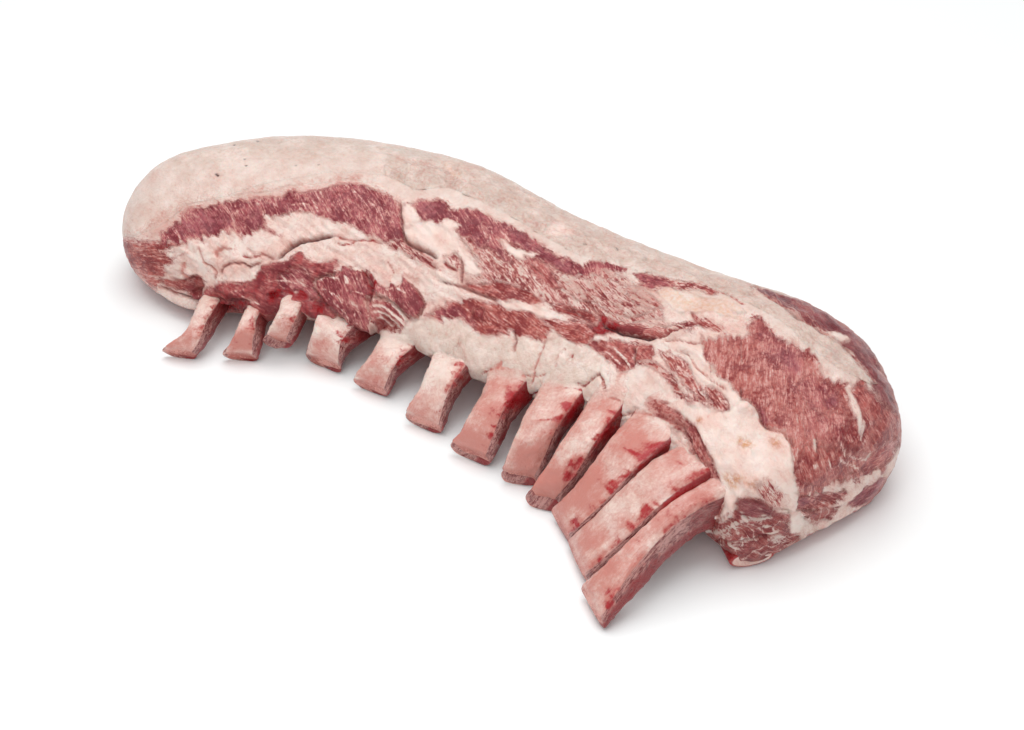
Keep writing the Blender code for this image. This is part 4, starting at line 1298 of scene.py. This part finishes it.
@dataclass(frozen=True)
class CapLine:
    """Where the fat cap lies: its edges round the girth by millimetres along, and its thickness."""

    front: tuple[Row, ...] = (
        (0, 0.575), (12, 0.562), (30, 0.536), (44, 0.501), (70, 0.479), (93, 0.446), (130, 0.410),
        (160, 0.405), (182, 0.424), (200, 0.394), (250, 0.380), (292, 0.396), (328, 0.385), (350, 0.360),
        (407, 0.362), (430, 0.347), (449, 0.322), (462, 0.272)
    )
    back: tuple[Row, ...] = (
        (0, 0.030), (300, 0.030), (330, 0.070), (360, 0.190), (385, 0.268), (425, 0.282), (447, 0.262),
        (462, 0.240)
    )
    middle: tuple[Row, ...] = ((0, 9.0), (300, 9.0), (400, 6.0), (462, 3.0))
    end: float = 462.0
    edge: float = 1.8
    border: float = 0.012
    gap: float = 0.6

    def edges(self, distance: float) -> tuple[float, float]:
        """Back and front edge at a distance along."""
        low = float(np.interp(distance, *zip(*self.back)))
        high = float(np.interp(distance, *zip(*self.front)))
        inset = min(self.border, (high - low) * 0.2)
        return low, high - inset

    def thickness(self, distance: float, girth: Array) -> Array:
        """Depth of the cap's inner side under the surface, in millimetres."""
        low, high = self.edges(distance)
        t = np.clip((girth - low) / (high - low), 0, 1)
        full = float(np.interp(distance, *zip(*self.middle)))
        return self.edge + (full - self.edge) * np.sin(t * math.pi) ** 0.5

    def sunk(self, distance: float, girth: Array) -> Array:
        """How deep the flesh lies under the cap, 0 outside it."""
        low, high = self.edges(distance)
        inside = np.minimum(girth - low, high - girth) * GIRTH_MM
        ending = smooth(0, 6, self.end - distance)
        return (self.thickness(distance, girth) + self.gap) * smooth(1.1, 3.8, inside) * ending

    def near(self, distance: float, girth: Array) -> Array:
        """How near places round the girth are to the cap's edges, from 0 to 1."""
        low, high = self.edges(distance)
        away = np.maximum(low - girth, girth - high) * GIRTH_MM
        return smooth(11, 3, away) * (distance < self.end + 4)


@dataclass
class Flesh:
    """The loin with its muscles: one closed body."""

    form: RackForm
    cap: CapLine
    painter: Painter
    left_rings: int = 46
    spacing: float = 1.18
    right_rings: int = 12
    face_rings: int = 26
    girth_table: tuple[Row, ...] = ((0, 0.0), (46, 0.34), (176, 0.70), (200, 1.0))
    lift: float = 0.05

    def stations(self) -> list[tuple[float, float]]:
        """Millimetres along and share of the outline's size for each ring."""
        form = self.form
        total = form.length()
        angle = np.linspace(0.02, math.pi / 2, self.left_rings)
        left = form.left_rounding * (1 - np.cos(angle) ** (2 / form.left_squareness))
        start, stop = form.left_rounding, total - form.right_rounding
        middle = np.linspace(start, stop, int((stop - start) / self.spacing))[1:]
        rounded = np.linspace(stop, total, self.right_rings)[1:]
        rows = [(float(s), 1.0) for s in (*left, *middle, *rounded)]
        shrink = np.linspace(1, 0.03, self.face_rings)[1:]
        return rows + [(total, float(k)) for k in shrink]

    def build(self, material: bpy.types.Material) -> bpy.types.Object:
        """Makes the piece."""
        t, g = zip(*self.girth_table)
        girth = np.interp(np.arange(int(t[-1])), t, g)
        stations = self.stations()
        base = np.array([self.form.ring(s, girth, k) for s, k in stations])
        depth = np.array([self.cap.sunk(s, girth) if k == 1.0 else girth * 0 for s, k in stations])
        normals = grid_normals(base)
        points, flat = base.reshape(-1, 3), normals.reshape(-1, 3)
        seen = self.painter.sight.facing(points, flat) > 0.05
        self.surface = points[seen]
        self.surface_view = self.painter.sight.project(self.surface)
        rim = np.array([self.cap.near(s, girth) * (k == 1.0) for s, k in stations]).ravel()
        rim = smooth(0.2, 0.7, rim + 0.8 * Lattice(14).clouds(points, 16.0, 4) * (rim > 0))
        made, grain = self.painter.lay(points, flat, rim)
        up = made["height"] + lumps(points) - depth.ravel()
        moved = (points + flat * up[:, None]).reshape(base.shape)
        packed = tissue_attributes(made, grain)
        return finish_piece("flesh", moved, self.lift, packed, material, "lean_meat", "meat")

    def under_view(self, view: Array) -> Array:
        """Points of the surface that show at places in the view."""
        found = []
        for place in view:
            far = np.linalg.norm(self.surface_view - place, axis=1)
            near = np.argsort(far)[:6]
            depth = self.surface[near] @ self.painter.sight.axes()[0]
            found.append(self.surface[near[np.argmax(depth)]])
        return np.array(found)


def tissue_attributes(made: Channels, grain: Array) -> Channels:
    """The channels packed into the attributes that the finishes read."""
    zero = np.zeros(len(grain))
    return {
        "bone": np.stack([zero, zero, made["folds"]], -1),
        "tissue": np.stack([made["fat"], made["streak"], made["web"]], -1),
        "stain": np.stack([made["blood"], made["dark"], made["purple"]], -1),
        "tone": np.stack([made["yellow"], made["film"], made["rosy"]], -1),
        "grain": grain,
    }


@dataclass
class FatCap:
    """The cap of fat over the back of the rack."""

    form: RackForm
    cap: CapLine
    painter: Painter
    flesh: Flesh
    outer: int = 170
    inner: int = 14

    def build(self, material: bpy.types.Material) -> bpy.types.Object:
        """Makes the piece."""
        rows = [s for s, k in self.flesh.stations() if k == 1.0 and s < self.cap.end - 0.5] + [self.cap.end]
        base, sunk = [], []
        for s in rows:
            low, high = self.cap.edges(s)
            out = np.linspace(low, high, self.outer)
            back = np.linspace(high, low, self.inner + 2)[1:-1]
            girth = np.concatenate([out, back])
            base.append(self.form.ring(s, girth))
            ending = smooth(-1, 5, self.cap.end - s)
            steps = np.arange(self.outer)
            edge = np.minimum(steps, steps[::-1]) * (high - low) * GIRTH_MM / self.outer
            top = 0.45 * (1 - smooth(0, 1.6, edge)) - 0.04
            sunk.append(np.concatenate([top, self.cap.thickness(s, back) * ending + self.cap.gap]))
        base, sunk = np.array(base), np.array(sunk)
        outer = base[:, : self.outer]
        normals = np.empty_like(base)
        normals[:, : self.outer] = grid_normals(outer, closed=False)
        reach = (outer - outer.mean(axis=1, keepdims=True)) * normals[:, : self.outer]
        normals[:, : self.outer] *= np.sign(reach.sum(2).mean())
        pick = np.linspace(self.outer - 1, 0, self.inner + 2)[1:-1].round().astype(int)
        normals[:, self.outer:] = normals[:, pick]
        points, flat = base.reshape(-1, 3), normals.reshape(-1, 3)
        made, grain = self.painter.lay(points, flat)
        inner = np.zeros(base.shape[:2], bool)
        inner[:, self.outer:] = True
        up = np.where(inner.ravel(), 0, made["height"] + lumps(points)) - sunk.ravel()
        moved = (points + flat * up[:, None]).reshape(base.shape)
        packed = tissue_attributes(made, grain)
        return finish_piece("fat_cover", moved, self.flesh.lift, packed, material, "fat", "fat_cap")


CAP_PATCHES = (
    Patch(Kind.CAP_GREY, "180,150 220,134 300,130 380,132 440,142 470,160 450,168 400,162 340,158 270,158"
          " 220,166 190,176 170,170", 10, 14, 2),
    Patch(Kind.CAP_ROUGH, "385,160 420,160 450,166 480,178 520,200 560,224 610,246 660,262 720,284 780,308"
          " 840,345 880,392 850,380 800,345 745,312 700,288 640,272 600,262 560,250 520,226 480,208 440,200"
          " 405,196 385,184", 28, 10, 3),
    Patch(Kind.CAP_ROUGH, "480,170 540,186 600,212 660,236 720,262 760,284 740,292 680,268 620,248 560,222"
          " 500,192", 25, 12, 3),
    Patch(Kind.PINK_FAT, "545,226 560,222 576,228 574,236 556,238 546,234", 20, 4),
    Patch(Kind.CAP_GREY, "640,238 680,250 720,266 740,276 700,268 660,254", 22, 6),
    Patch(Kind.YELLOW_FAT, "444,160 452,164 460,172 454,176 446,168", 40, 4),
)

BONE_PATCHES = (
    Patch(Kind.RED_SKIN, "178,325 195,324 202,328 200,338 188,342 178,338", 140, 4),
    Patch(Kind.ROSE, "165,342 180,338 198,340 196,356 180,358 164,350", 140, 5),
    Patch(Kind.GORE, "246,318 256,316 256,330 252,346 246,344 244,330", 110, 3),
    Patch(Kind.RED_SKIN, "232,330 244,326 256,330 254,350 240,354 226,350", 120, 5),
    Patch(Kind.RED_SKIN, "276,322 286,316 296,318 294,330 284,334 274,332", 30, 3),
    Patch(Kind.ROSE, "264,334 276,330 288,334 288,344 264,344", 20, 4),
    Patch(Kind.RED_SKIN, "316,338 326,336 332,344 328,354 318,352", 60, 4),
    Patch(Kind.ROSE, "306,350 320,354 338,360 338,372 306,358", 20, 4),
    Patch(Kind.GORE, "344,334 354,334 356,340 344,344 338,342", 170, 2),
    Patch(Kind.RED_SKIN, "368,352 382,350 396,354 402,360 390,366 374,362", 120, 4),
    Patch(Kind.RED_SKIN, "362,378 374,376 386,382 384,392 370,390", 120, 4),
    Patch(Kind.GORE, "400,350 412,350 408,360 398,368 392,376 390,368", 130, 3),
    Patch(Kind.GORE, "458,366 474,364 476,370 462,378 450,390 444,400 442,394 450,380", 125, 3),
    Patch(Kind.ROSE, "414,390 430,384 444,392 442,420 420,424 408,412", 120, 6),
    Patch(Kind.RED_SKIN, "486,406 500,400 506,404 500,418 490,424 484,416", 120, 4),
    Patch(Kind.GORE, "508,386 524,382 526,394 514,402 504,404", 130, 3),
    Patch(Kind.ROSE, "460,420 478,410 490,424 488,456 466,450 452,440", 120, 6),
    Patch(Kind.ROSE, "506,460 520,452 536,458 532,480 512,478 504,472", 120, 6),
    Patch(Kind.RED_SKIN, "562,410 574,398 584,396 578,412 560,432 550,446 546,440", 125, 4),
    Patch(Kind.GORE, "568,462 577,455 583,458 578,470 568,484 563,482", 125, 2.5),
    Patch(Kind.RED_SKIN, "602,428 610,420 617,424 608,438 598,450 594,444", 125, 3),
    Patch(Kind.ROSE, "532,480 548,468 560,480 556,500 540,504 528,494", 125, 6),
    Patch(Kind.GORE, "646,456 656,449 668,441 677,439 668,451 654,461", 160, 2.2),
    Patch(Kind.RED_SKIN, "626,440 640,434 656,440 646,452 630,452", 160, 5),
    Patch(Kind.RED_SKIN, "590,470 602,464 610,472 600,486 588,484", 130, 5),
    Patch(Kind.GORE, "570,522 580,514 584,520 575,532 568,534", 130, 2),
    Patch(Kind.GORE, "684,480 698,471 713,468 707,479 693,487", 150, 2.2),
    Patch(Kind.RED_SKIN, "650,494 668,482 684,478 690,486 670,498 654,506", 145, 5),
    Patch(Kind.ROSE, "600,528 620,512 632,520 616,540 600,552 590,544", 140, 6),
    Patch(Kind.GORE, "588,568 601,552 604,556 593,574", 140, 2),
    Patch(Kind.RED_SKIN, "660,510 690,494 712,492 716,502 690,512 662,528 640,546 634,540", 145, 5),
    Patch(Kind.GORE, "690,520 710,504 722,506 718,524 700,536 686,540", 120, 5),
    Patch(Kind.GORE, "604,592 618,584 622,592 610,612 602,618", 125, 3),
    Patch(Kind.RED_SKIN, "626,570 644,552 652,560 636,586 618,606 612,600", 125, 5),
)

CAP_CREASES = (
    Crease("215,174.5 217,175 219,176", 0.9, 1.9, 1.3),
    Crease("244,159 246,160.5", 0.6, 1.2, 1.1),
    Crease("246,165.5 248,166.5", 0.6, 1.1, 1.1),
    Crease("234,144.5 236,145.5", 0.5, 1.1, 1.0),
    Crease("256,141.5 258,142.5", 0.5, 1.1, 1.0),
    Crease("294,163.5 296,164.5", 0.5, 1.1, 1.0),
    Crease("316,163.5 318,164.5", 0.5, 1.1, 1.0),
    Crease("616,246 619,250", 0.6, 1.3, 0.7),
    Crease("582,244 588,246", 0.6, 1.3, 0.6),
    Crease("405,160 425,166 445,172 460,178", 0.9, 2.2, 0.12),
    Crease("350,150 380,154 410,158 436,166", -0.6, 3.0),
    Crease("360,142 390,146 420,152 446,160", 0.5, 2.0, 0.10),
    Crease("458,165 453,178 447,190 442,200", 1.6, 7.0, 0.12),
    Crease("380,152 400,158 420,162 440,168 456,174", 0.8, 1.6, 0.15),
)


@dataclass(frozen=True)
class RibRow:
    """One rib bone: three lines in the view from its root to its tip and the heights of its upper side.

    The lines are the left and right edges of the upper side and the lower edge of the right side. The heights
    are at the left and right of the root and at the tip, the depths at the root and at the tip. A tongue is
    where the bone runs on under thin flesh.
    """

    left: str
    right: str
    low: str
    heights: Row
    depths: Row
    tongue: str = ""


RIBS = (
    RibRow("199,298 191,317 183,331 173,340 163,347", "217,302 206,319 201,331 197,342 192,351",
           "234,303 222,321 214,335 206,347 196,359", (26, 27, 10.5), (12, 8.5)),
    RibRow("248,298 240,318 234,331 228,342 222,351", "264,301 257,318 254,332 252,343 252,353",
           "276,308 269,322 265,336 262,348 258,361", (31, 31, 10.5), (13, 8.5)),
    RibRow("282,296 277,309 272,320 267,330 263,338", "303,298 298,311 293,321 289,330 286,338",
           "316,304 309,318 304,328 299,337 292,347", (38, 38, 19), (14, 8.5)),
    RibRow("318,302 314,316 311,329 309,341 306,351", "352,325 343,336 339,344 338,354 338,363",
           "378,336 366,342 354,350 346,360 340,373", (36, 30, 11), (14, 8.5)),
    RibRow("379,336 371,350 365,360 359,368 354,376", "412,346 400,357 393,367 388,377 384,387",
           "436,352 416,364 404,374 396,384 387,397", (27, 31, 11), (14, 8.5), "390,310 424,322"),
    RibRow("431,352 424,370 418,385 411,399 406,411", "468,360 454,379 447,392 442,408 439,423",
           "490,368 468,386 457,401 450,416 441,434", (33, 37, 11), (15, 8.5), "440,322 478,330"),
    RibRow("486,376 476,398 467,415 459,430 451,441", "524,382 506,402 498,419 491,438 486,454",
           "540,392 523,411 511,428 501,447 489,466", (35, 40, 11), (15, 8.5), "496,344 534,352"),
    RibRow("540,384 526,410 516,432 508,452 502,470", "584,388 567,410 555,430 546,452 535,474",
           "594,402 576,421 563,439 552,461 536,486", (41, 46, 11), (15, 8.5), "552,352 594,358"),
    RibRow("590,394 571,424 557,445 544,468 527,492", "622,404 603,429 589,450 574,475 555,498",
           "632,418 612,440 597,460 580,484 556,512", (46, 51, 11), (14, 8.5), "604,362 640,374"),
    RibRow("634,408 610,436 592,461 574,484 553,506", "678,430 647,456 625,478 599,506 569,532",
           "688,446 656,468 634,489 608,516 571,545", (53, 59, 11), (14, 9), "652,378 692,398"),
    RibRow("688,434 651,460 626,482 599,508 570,536", "716,466 681,487 651,512 620,542 586,572",
           "726,482 691,502 661,525 630,553 589,584", (60, 58, 11), (15, 9), "704,410 730,436"),
    RibRow("716,472 673,498 642,525 609,556 584,582", "734,490 691,511 659,537 628,574 602,614",
           "720,528 694,540 664,566 634,600 604,631", (54, 51, 12), (26, 11), "732,450 750,466"),
)


RIB_TONES = (
    (0.25, -0.02), (0.30, 0.02), (0.20, -0.10), (0.15, -0.14), (0.20, 0.0), (0.45, -0.05),
    (0.70, 0.26), (0.45, 0.0), (0.25, 0.40), (0.20, 0.36), (0.20, 0.12), (0.15, 0.30),
)


@dataclass
class RibBone:
    """One rib bone with its skin, its red edges and its sawn end."""

    number: int
    row: RibRow
    sight: Sight
    flesh: "Flesh"
    painter: Painter
    sides: int = 64
    steps: int = 76
    corner: float = 0.60
    hidden: float = 26.0
    under: float = 0.82
    settle: float = 1.4
    lift: float = 0.1
    rest: float = 0.7
    dip: float = 0.12
    root_rings: int = 14
    softening: int = 10
    tongue_depth: float = 9.0
    widen: Row = (1.12, 1.10)
    lean: float = 0.45
    # The sawn end: share of the bone's size and millimetres ahead for each ring, and how much is cut there.
    dome: tuple[Row, ...] = (
        (0.985, 1.2), (0.93, 2.2), (0.82, 2.8), (0.6, 2.9), (0.4, 2.8), (0.2, 2.8), (0.05, 2.8)
    )
    dome_cut: Row = (0.75, 1, 1, 1, 1, 1, 1)

    def line(self, text: str, share: Array) -> Array:
        """Places on a smooth line in the view at shares from 0 to 1."""
        return RackForm.along(places(text), share)

    def corners(self) -> tuple[Array, Array]:
        """The four corners of each ring and the share of the shown length of each."""
        row = self.row
        t = np.linspace(0, 1, self.steps)
        root_left, root_right, tip = row.heights
        sag = 4 * t * (1 - t)
        tip -= self.settle
        left = self.sight.land(self.line(row.left, t), root_left * (1 - t**2) + tip * t**2 - sag)
        height = root_right * (1 - t**2) + tip * t**2 - sag
        right = self.sight.land(self.line(row.right, t), height)
        low = self.sight.land(self.line(row.low, t), height - (row.depths[0] * (1 - t) + row.depths[1] * t))
        low[:, 2] = np.maximum(low[:, 2], self.rest)
        drop = low - right
        other = left + drop + (right - left) * (1 - self.under) * 0.5
        other[:, 2] = np.maximum(other[:, 2], self.rest)
        rings = np.stack([right, left, other, low], 1)
        back = rings[0].mean(0) - rings[4].mean(0)
        back /= np.linalg.norm(back)
        back[2] = -self.dip
        inside = np.linspace(1, 0, self.root_rings)[:-1]
        root = np.array([rings[0] + back * self.hidden * k for k in inside])
        if row.tongue:
            marks = places(row.tongue)[::-1]
            start = np.array([places(row.right)[0], places(row.left)[0]])
            for part, share in zip(root, inside):
                on = self.flesh.under_view(start + (marks - start) * share)
                goal = on + np.array([0, 0, 0.7 - 2.6 * share**2])
                hold = min(1.0, share * 2.5)
                part[:2] = rings[0][:2] * (1 - hold) + goal * hold
                part[2:] = part[1::-1] - np.array([0, 0, self.tongue_depth])
        line = np.concatenate([root, rings])
        for _ in range(self.softening):
            line[2:24] = (line[1:23] + line[2:24] + line[3:25]) / 3
        return line, np.concatenate([-inside, t])

    def build(self, material: bpy.types.Material) -> bpy.types.Object:
        """Makes the piece."""
        corners, share = self.corners()
        angle = np.arange(self.sides) * 2 * math.pi / self.sides + math.pi / 4
        u = np.sign(np.cos(angle)) * np.abs(np.cos(angle)) ** self.corner
        v = np.sign(np.sin(angle)) * np.abs(np.sin(angle)) ** self.corner
        right, left, other, low = (corners[:, k, None, :] for k in range(4))
        u, v = u[None, :, None] * self.widen[0], v[None, :, None] * self.widen[1]
        rings = (right * (1 + u) * (1 + v) + left * (1 - u) * (1 + v) + other * (1 - u) * (1 - v)
                 + low * (1 + u) * (1 - v)) / 4
        ahead = rings[-1].mean(0) - rings[-4].mean(0)
        ahead /= np.linalg.norm(ahead)
        middle = rings[-1].mean(0)
        out = rings[-1] - middle
        lean = out[:, 2:] * ahead * self.lean
        face = [middle + out * k + ahead * d + lean * min(1, d / 2) * k for k, d in self.dome]
        rings = np.concatenate([rings, np.array(face)])
        cut = np.concatenate([np.zeros(len(share)), self.dome_cut])
        shown = np.concatenate([share, np.ones(len(face))])
        points = rings.reshape(-1, 3)
        normals = grid_normals(rings)
        body = np.nonzero(cut == 0)[0]
        heart = rings.mean(axis=1, keepdims=True)
        normals *= np.sign(((rings - heart) * normals)[body].sum(2).mean())
        normals[cut > 0.8] = ahead
        flat = normals.reshape(-1, 3)
        made, grain = self.painter.lay(points, flat)
        root, _ = self.flesh.painter.lay(points, flat)
        merge = smooth(0.12, -0.12, np.repeat(shown, self.sides)) * (1.0 if self.row.tongue else 0.0)
        for name in CHANNELS:
            made[name] += (root[name] - made[name]) * merge
        lump = Lattice(40 + self.number)
        rough = lump.clouds(points, 14.0, 3) * 1.1 + Lattice(80).clouds(points, 4.0, 2) * 0.35
        rough = rough + made["height"] * 0.6
        moved = (points + flat * (rough * np.repeat(1 - cut * 0.4, self.sides))[:, None]).reshape(rings.shape)
        packed = self.paint(points, angle, shown, cut, made, grain)
        name, node = f"bone_{self.number:02d}", f"rib_{self.number:02d}"
        return finish_piece(name, moved, self.lift, packed, material, "bone", node)

    def paint(self, points: Array, angle: Array, shown: Array, cut: Array, made: Channels,
              grain: Array) -> Channels:
        """The skin, edges, blood and painted shade of the bone.

        Args:
            points: Points in millimetres.
            angle: Angle round the bone of each point of a ring.
            shown: Share of the shown length at each ring.
            cut: 1 on the sawn face.
            made: The channels laid from the view.
            grain: Coordinates of the fibres.

        Returns:
            The attributes that the finish reads.
        """
        rings, sides = len(shown), len(angle)
        a = np.tile(angle, rings)
        t = np.repeat(shown, sides)
        face = np.repeat(cut, sides)
        noise = Lattice(60 + self.number).clouds(points, 9.0, 4)
        broad = Lattice(20 + self.number).clouds(points, 20.0, 2)
        across = np.sign(np.cos(a)) * np.abs(np.cos(a)) ** self.corner
        upward = np.sign(np.sin(a)) * np.abs(np.sin(a)) ** self.corner
        edge = math.pi / 4
        flank = smooth(edge + 0.02, edge - 0.30, np.abs((a + math.pi) % (2 * math.pi) - math.pi))
        flank = np.maximum(flank, smooth(-0.3, -0.75, np.sin(a)))
        flank = np.maximum(flank, smooth(-0.75, -0.95, np.cos(a))) * smooth(-0.15, 0.0, t)
        deep = 1.0 if 7 <= self.number <= 11 else 0.6
        comb = Lattice(70 + self.number).sample(np.stack([t * 32.0, across * 1.1, upward * 0.5], -1))
        fringe = smooth(0.50, 1.10, across + noise * 0.55 + comb * 0.6) * (upward > 0) * smooth(-0.1, 0.05, t)
        fringe = fringe * (1 - flank) * smooth(1.05, 0.30, t + 0.5 * broad) * deep
        low = smooth(0.15, -0.35, upward + noise * 0.6) * (across > 0)
        root = smooth(0.35 + 0.4 * deep, 0.05, t + noise * 0.2)
        made["blood"] = np.maximum(made["blood"], fringe * 0.90)
        made["blood"] = np.maximum(made["blood"], flank * np.maximum(root * 0.95 * deep, 0.16 + low * 0.55))
        # Painted shade: the sides a little darker all over, darkest near the root, under the flesh, and along
        # the lower edge.
        made["dark"] = np.maximum(made["dark"], flank * smooth(0.45, 0.0, t) * 0.55)
        made["dark"] = np.maximum(made["dark"], flank * (0.08 + low * 0.35))
        tip, whole = RIB_TONES[self.number - 1]
        made["rosy"] = made["rosy"] + smooth(0.3, 1.0, t) * tip + whole + broad * 0.45 + noise * 0.35
        made["rosy"] = made["rosy"] + fringe * 0.5
        packed = tissue_attributes(made, grain)
        packed["bone"] = np.stack([flank * (1 - face), face, made["folds"] * 0.5 * (1 - face)], -1)
        around = (a + math.pi / 2) % (2 * math.pi)
        packed["grain"] = np.stack([around * 8.0, t * 12.0, np.full(len(a), self.number * 3.1)], -1)
        return packed


@dataclass
class BoneSlice:
    """The slice of bone under the right end: a pale lens with a red rim."""

    form: RackForm
    face: Row = (168.5, -23.5, 6.2)
    turn: float = 140.0
    half: Row = (12.5, 5.6)
    length: float = 30.0
    sides: int = 64
    lift: float = 0.1
    # Share of the size and millimetres inward for each ring of the face.
    dome: tuple[Row, ...] = (
        (0.05, 0.2), (0.3, 0.1), (0.6, 0.1), (0.8, 0.0), (0.92, -0.1), (0.98, 0.3), (1.0, 1.2)
    )

    def build(self, material: bpy.types.Material) -> bpy.types.Object:
        """Makes the piece."""
        turn = math.radians(self.turn)
        inward = np.array([math.cos(turn), math.sin(turn), 0])
        side = np.array([-inward[1], inward[0], 0])
        angle = np.arange(self.sides) * 2 * math.pi / self.sides
        oval = np.outer(np.cos(angle) * self.half[0], side)
        oval = oval + np.outer(np.sin(angle) * self.half[1], [0, 0, 1])
        face = np.array(self.face)
        rows = [*self.dome, *((1.0, float(t)) for t in np.linspace(2.5, self.length, 20))]
        rings = np.array([face + inward * t + oval * k for k, t in rows]) - np.array([*self.form.centre, 0])
        points = rings.reshape(-1, 3)
        noise = Lattice(90).clouds(points, 5.0, 3)
        cut = np.repeat([1.0 if k < 0.9 else 0.0 for k, _ in rows], self.sides)
        zero = np.zeros(len(points))
        attributes = {
            "tissue": np.stack([cut * 0.8 + 0.2, zero, zero], -1),
            "stain": np.stack([(1 - cut) * 0.6, zero, zero], -1),
            "tone": np.stack([zero, zero, zero + 0.3 + noise * 0.3], -1),
            "bone": np.stack([zero, cut * 0.1, zero], -1),
            "grain": points * 0.5,
        }
        moved = (points + noise[:, None] * np.array([0, 0, 0.3])).reshape(rings.shape)
        return finish_piece("slice", moved, self.lift, attributes, material, "bone", "bone_slice")


@dataclass(frozen=True)
class Lamp:
    """A square lamp: its place and side in metres and its power in watts."""

    name: str
    place: Row
    side: float
    power: float

    def build(self, target: Row) -> None:
        """Makes the lamp and points it at a place in millimetres."""
        data = bpy.data.lights.new(self.name, "AREA")
        data.size = self.side
        data.energy = self.power
        lamp = bpy.data.objects.new(self.name, data)
        lamp.location = self.place
        lamp.rotation_mode = "QUATERNION"
        lamp.rotation_quaternion = (Vector(target) * MM - Vector(self.place)).to_track_quat("-Z", "Y")
        bpy.context.scene.collection.objects.link(lamp)


@dataclass(frozen=True)
class Studio:
    """A plain pale floor and plain soft light."""

    sight: Sight
    floor_size: float = 6.0
    floor_colour: Colour = (0.955, 0.975, 0.975)
    floor_rough: float = 0.9
    floor_gloss: float = 0.1
    glow: float = 0.45
    lamps: tuple[Lamp, ...] = (
        Lamp("key", (-0.08, 0.08, 1.5), 1.4, 17.0),
        Lamp("fill", (0.50, -1.10, 1.2), 1.2, 6.0),
    )

    def build(self) -> None:
        """Makes the floor, the world and the lamps."""
        mesh = bpy.data.meshes.new("floor")
        h = self.floor_size / 2
        mesh.from_pydata([(-h, -h, 0), (h, -h, 0), (h, h, 0), (-h, h, 0)], [], [(0, 1, 2, 3)])
        floor = bpy.data.objects.new("floor", mesh)
        bpy.context.scene.collection.objects.link(floor)
        net = Net("floor_paper")
        net.shader.inputs["Base Color"].default_value = (*self.floor_colour, 1)
        net.shader.inputs["Roughness"].default_value = self.floor_rough
        net.shader.inputs["Specular IOR Level"].default_value = self.floor_gloss
        mesh.materials.append(net.material)
        world = bpy.data.worlds.new("studio")
        bpy.context.scene.world = world
        world.use_nodes = True
        background = world.node_tree.nodes["Background"]
        background.inputs["Color"].default_value = (1, 1, 1, 1)
        background.inputs["Strength"].default_value = self.glow
        for lamp in self.lamps:
            lamp.build(self.sight.target)
        bpy.context.scene.view_settings.view_transform = "Standard"


def main() -> None:
    """Builds the rack, its studio and its camera."""
    logging.basicConfig(level=logging.INFO, format="%(name)s: %(message)s")
    sight, form, cap = Sight(), RackForm(), CapLine()
    sight.build()
    Studio(sight).build()
    meat_paint = Painter(sight, FLESH_PATCHES, FLESH_CREASES, Kind.PINK_FAT.value, Kind.MUSCLE.value)
    cap_paint = Painter(sight, FLESH_PATCHES + CAP_PATCHES, FLESH_CREASES + CAP_CREASES, Kind.CAP.value,
                        Kind.CAP.value, flush=0.15)
    flesh = Flesh(form, cap, meat_paint)
    made = [flesh.build(TissueFinish("raw_flesh").build())]
    made.append(FatCap(form, cap, cap_paint, flesh).build(TissueFinish("back_fat").build()))
    bone = TissueFinish("raw_bone", coat=0.28, skin_rough=0.30, speckle=0.6).build()
    bone_paint = Painter(sight, BONE_PATCHES, (), Kind.SKIN.value, Kind.SKIN.value, turn=128)
    for number, row in enumerate(RIBS, 1):
        made.append(RibBone(number, row, sight, flesh, bone_paint).build(bone))
    made.append(BoneSlice(form).build(bone))
    for obj in made:
        LOG.info("%s: %d faces", obj.name, len(obj.data.polygons))


if __name__ == "__main__":
    main()
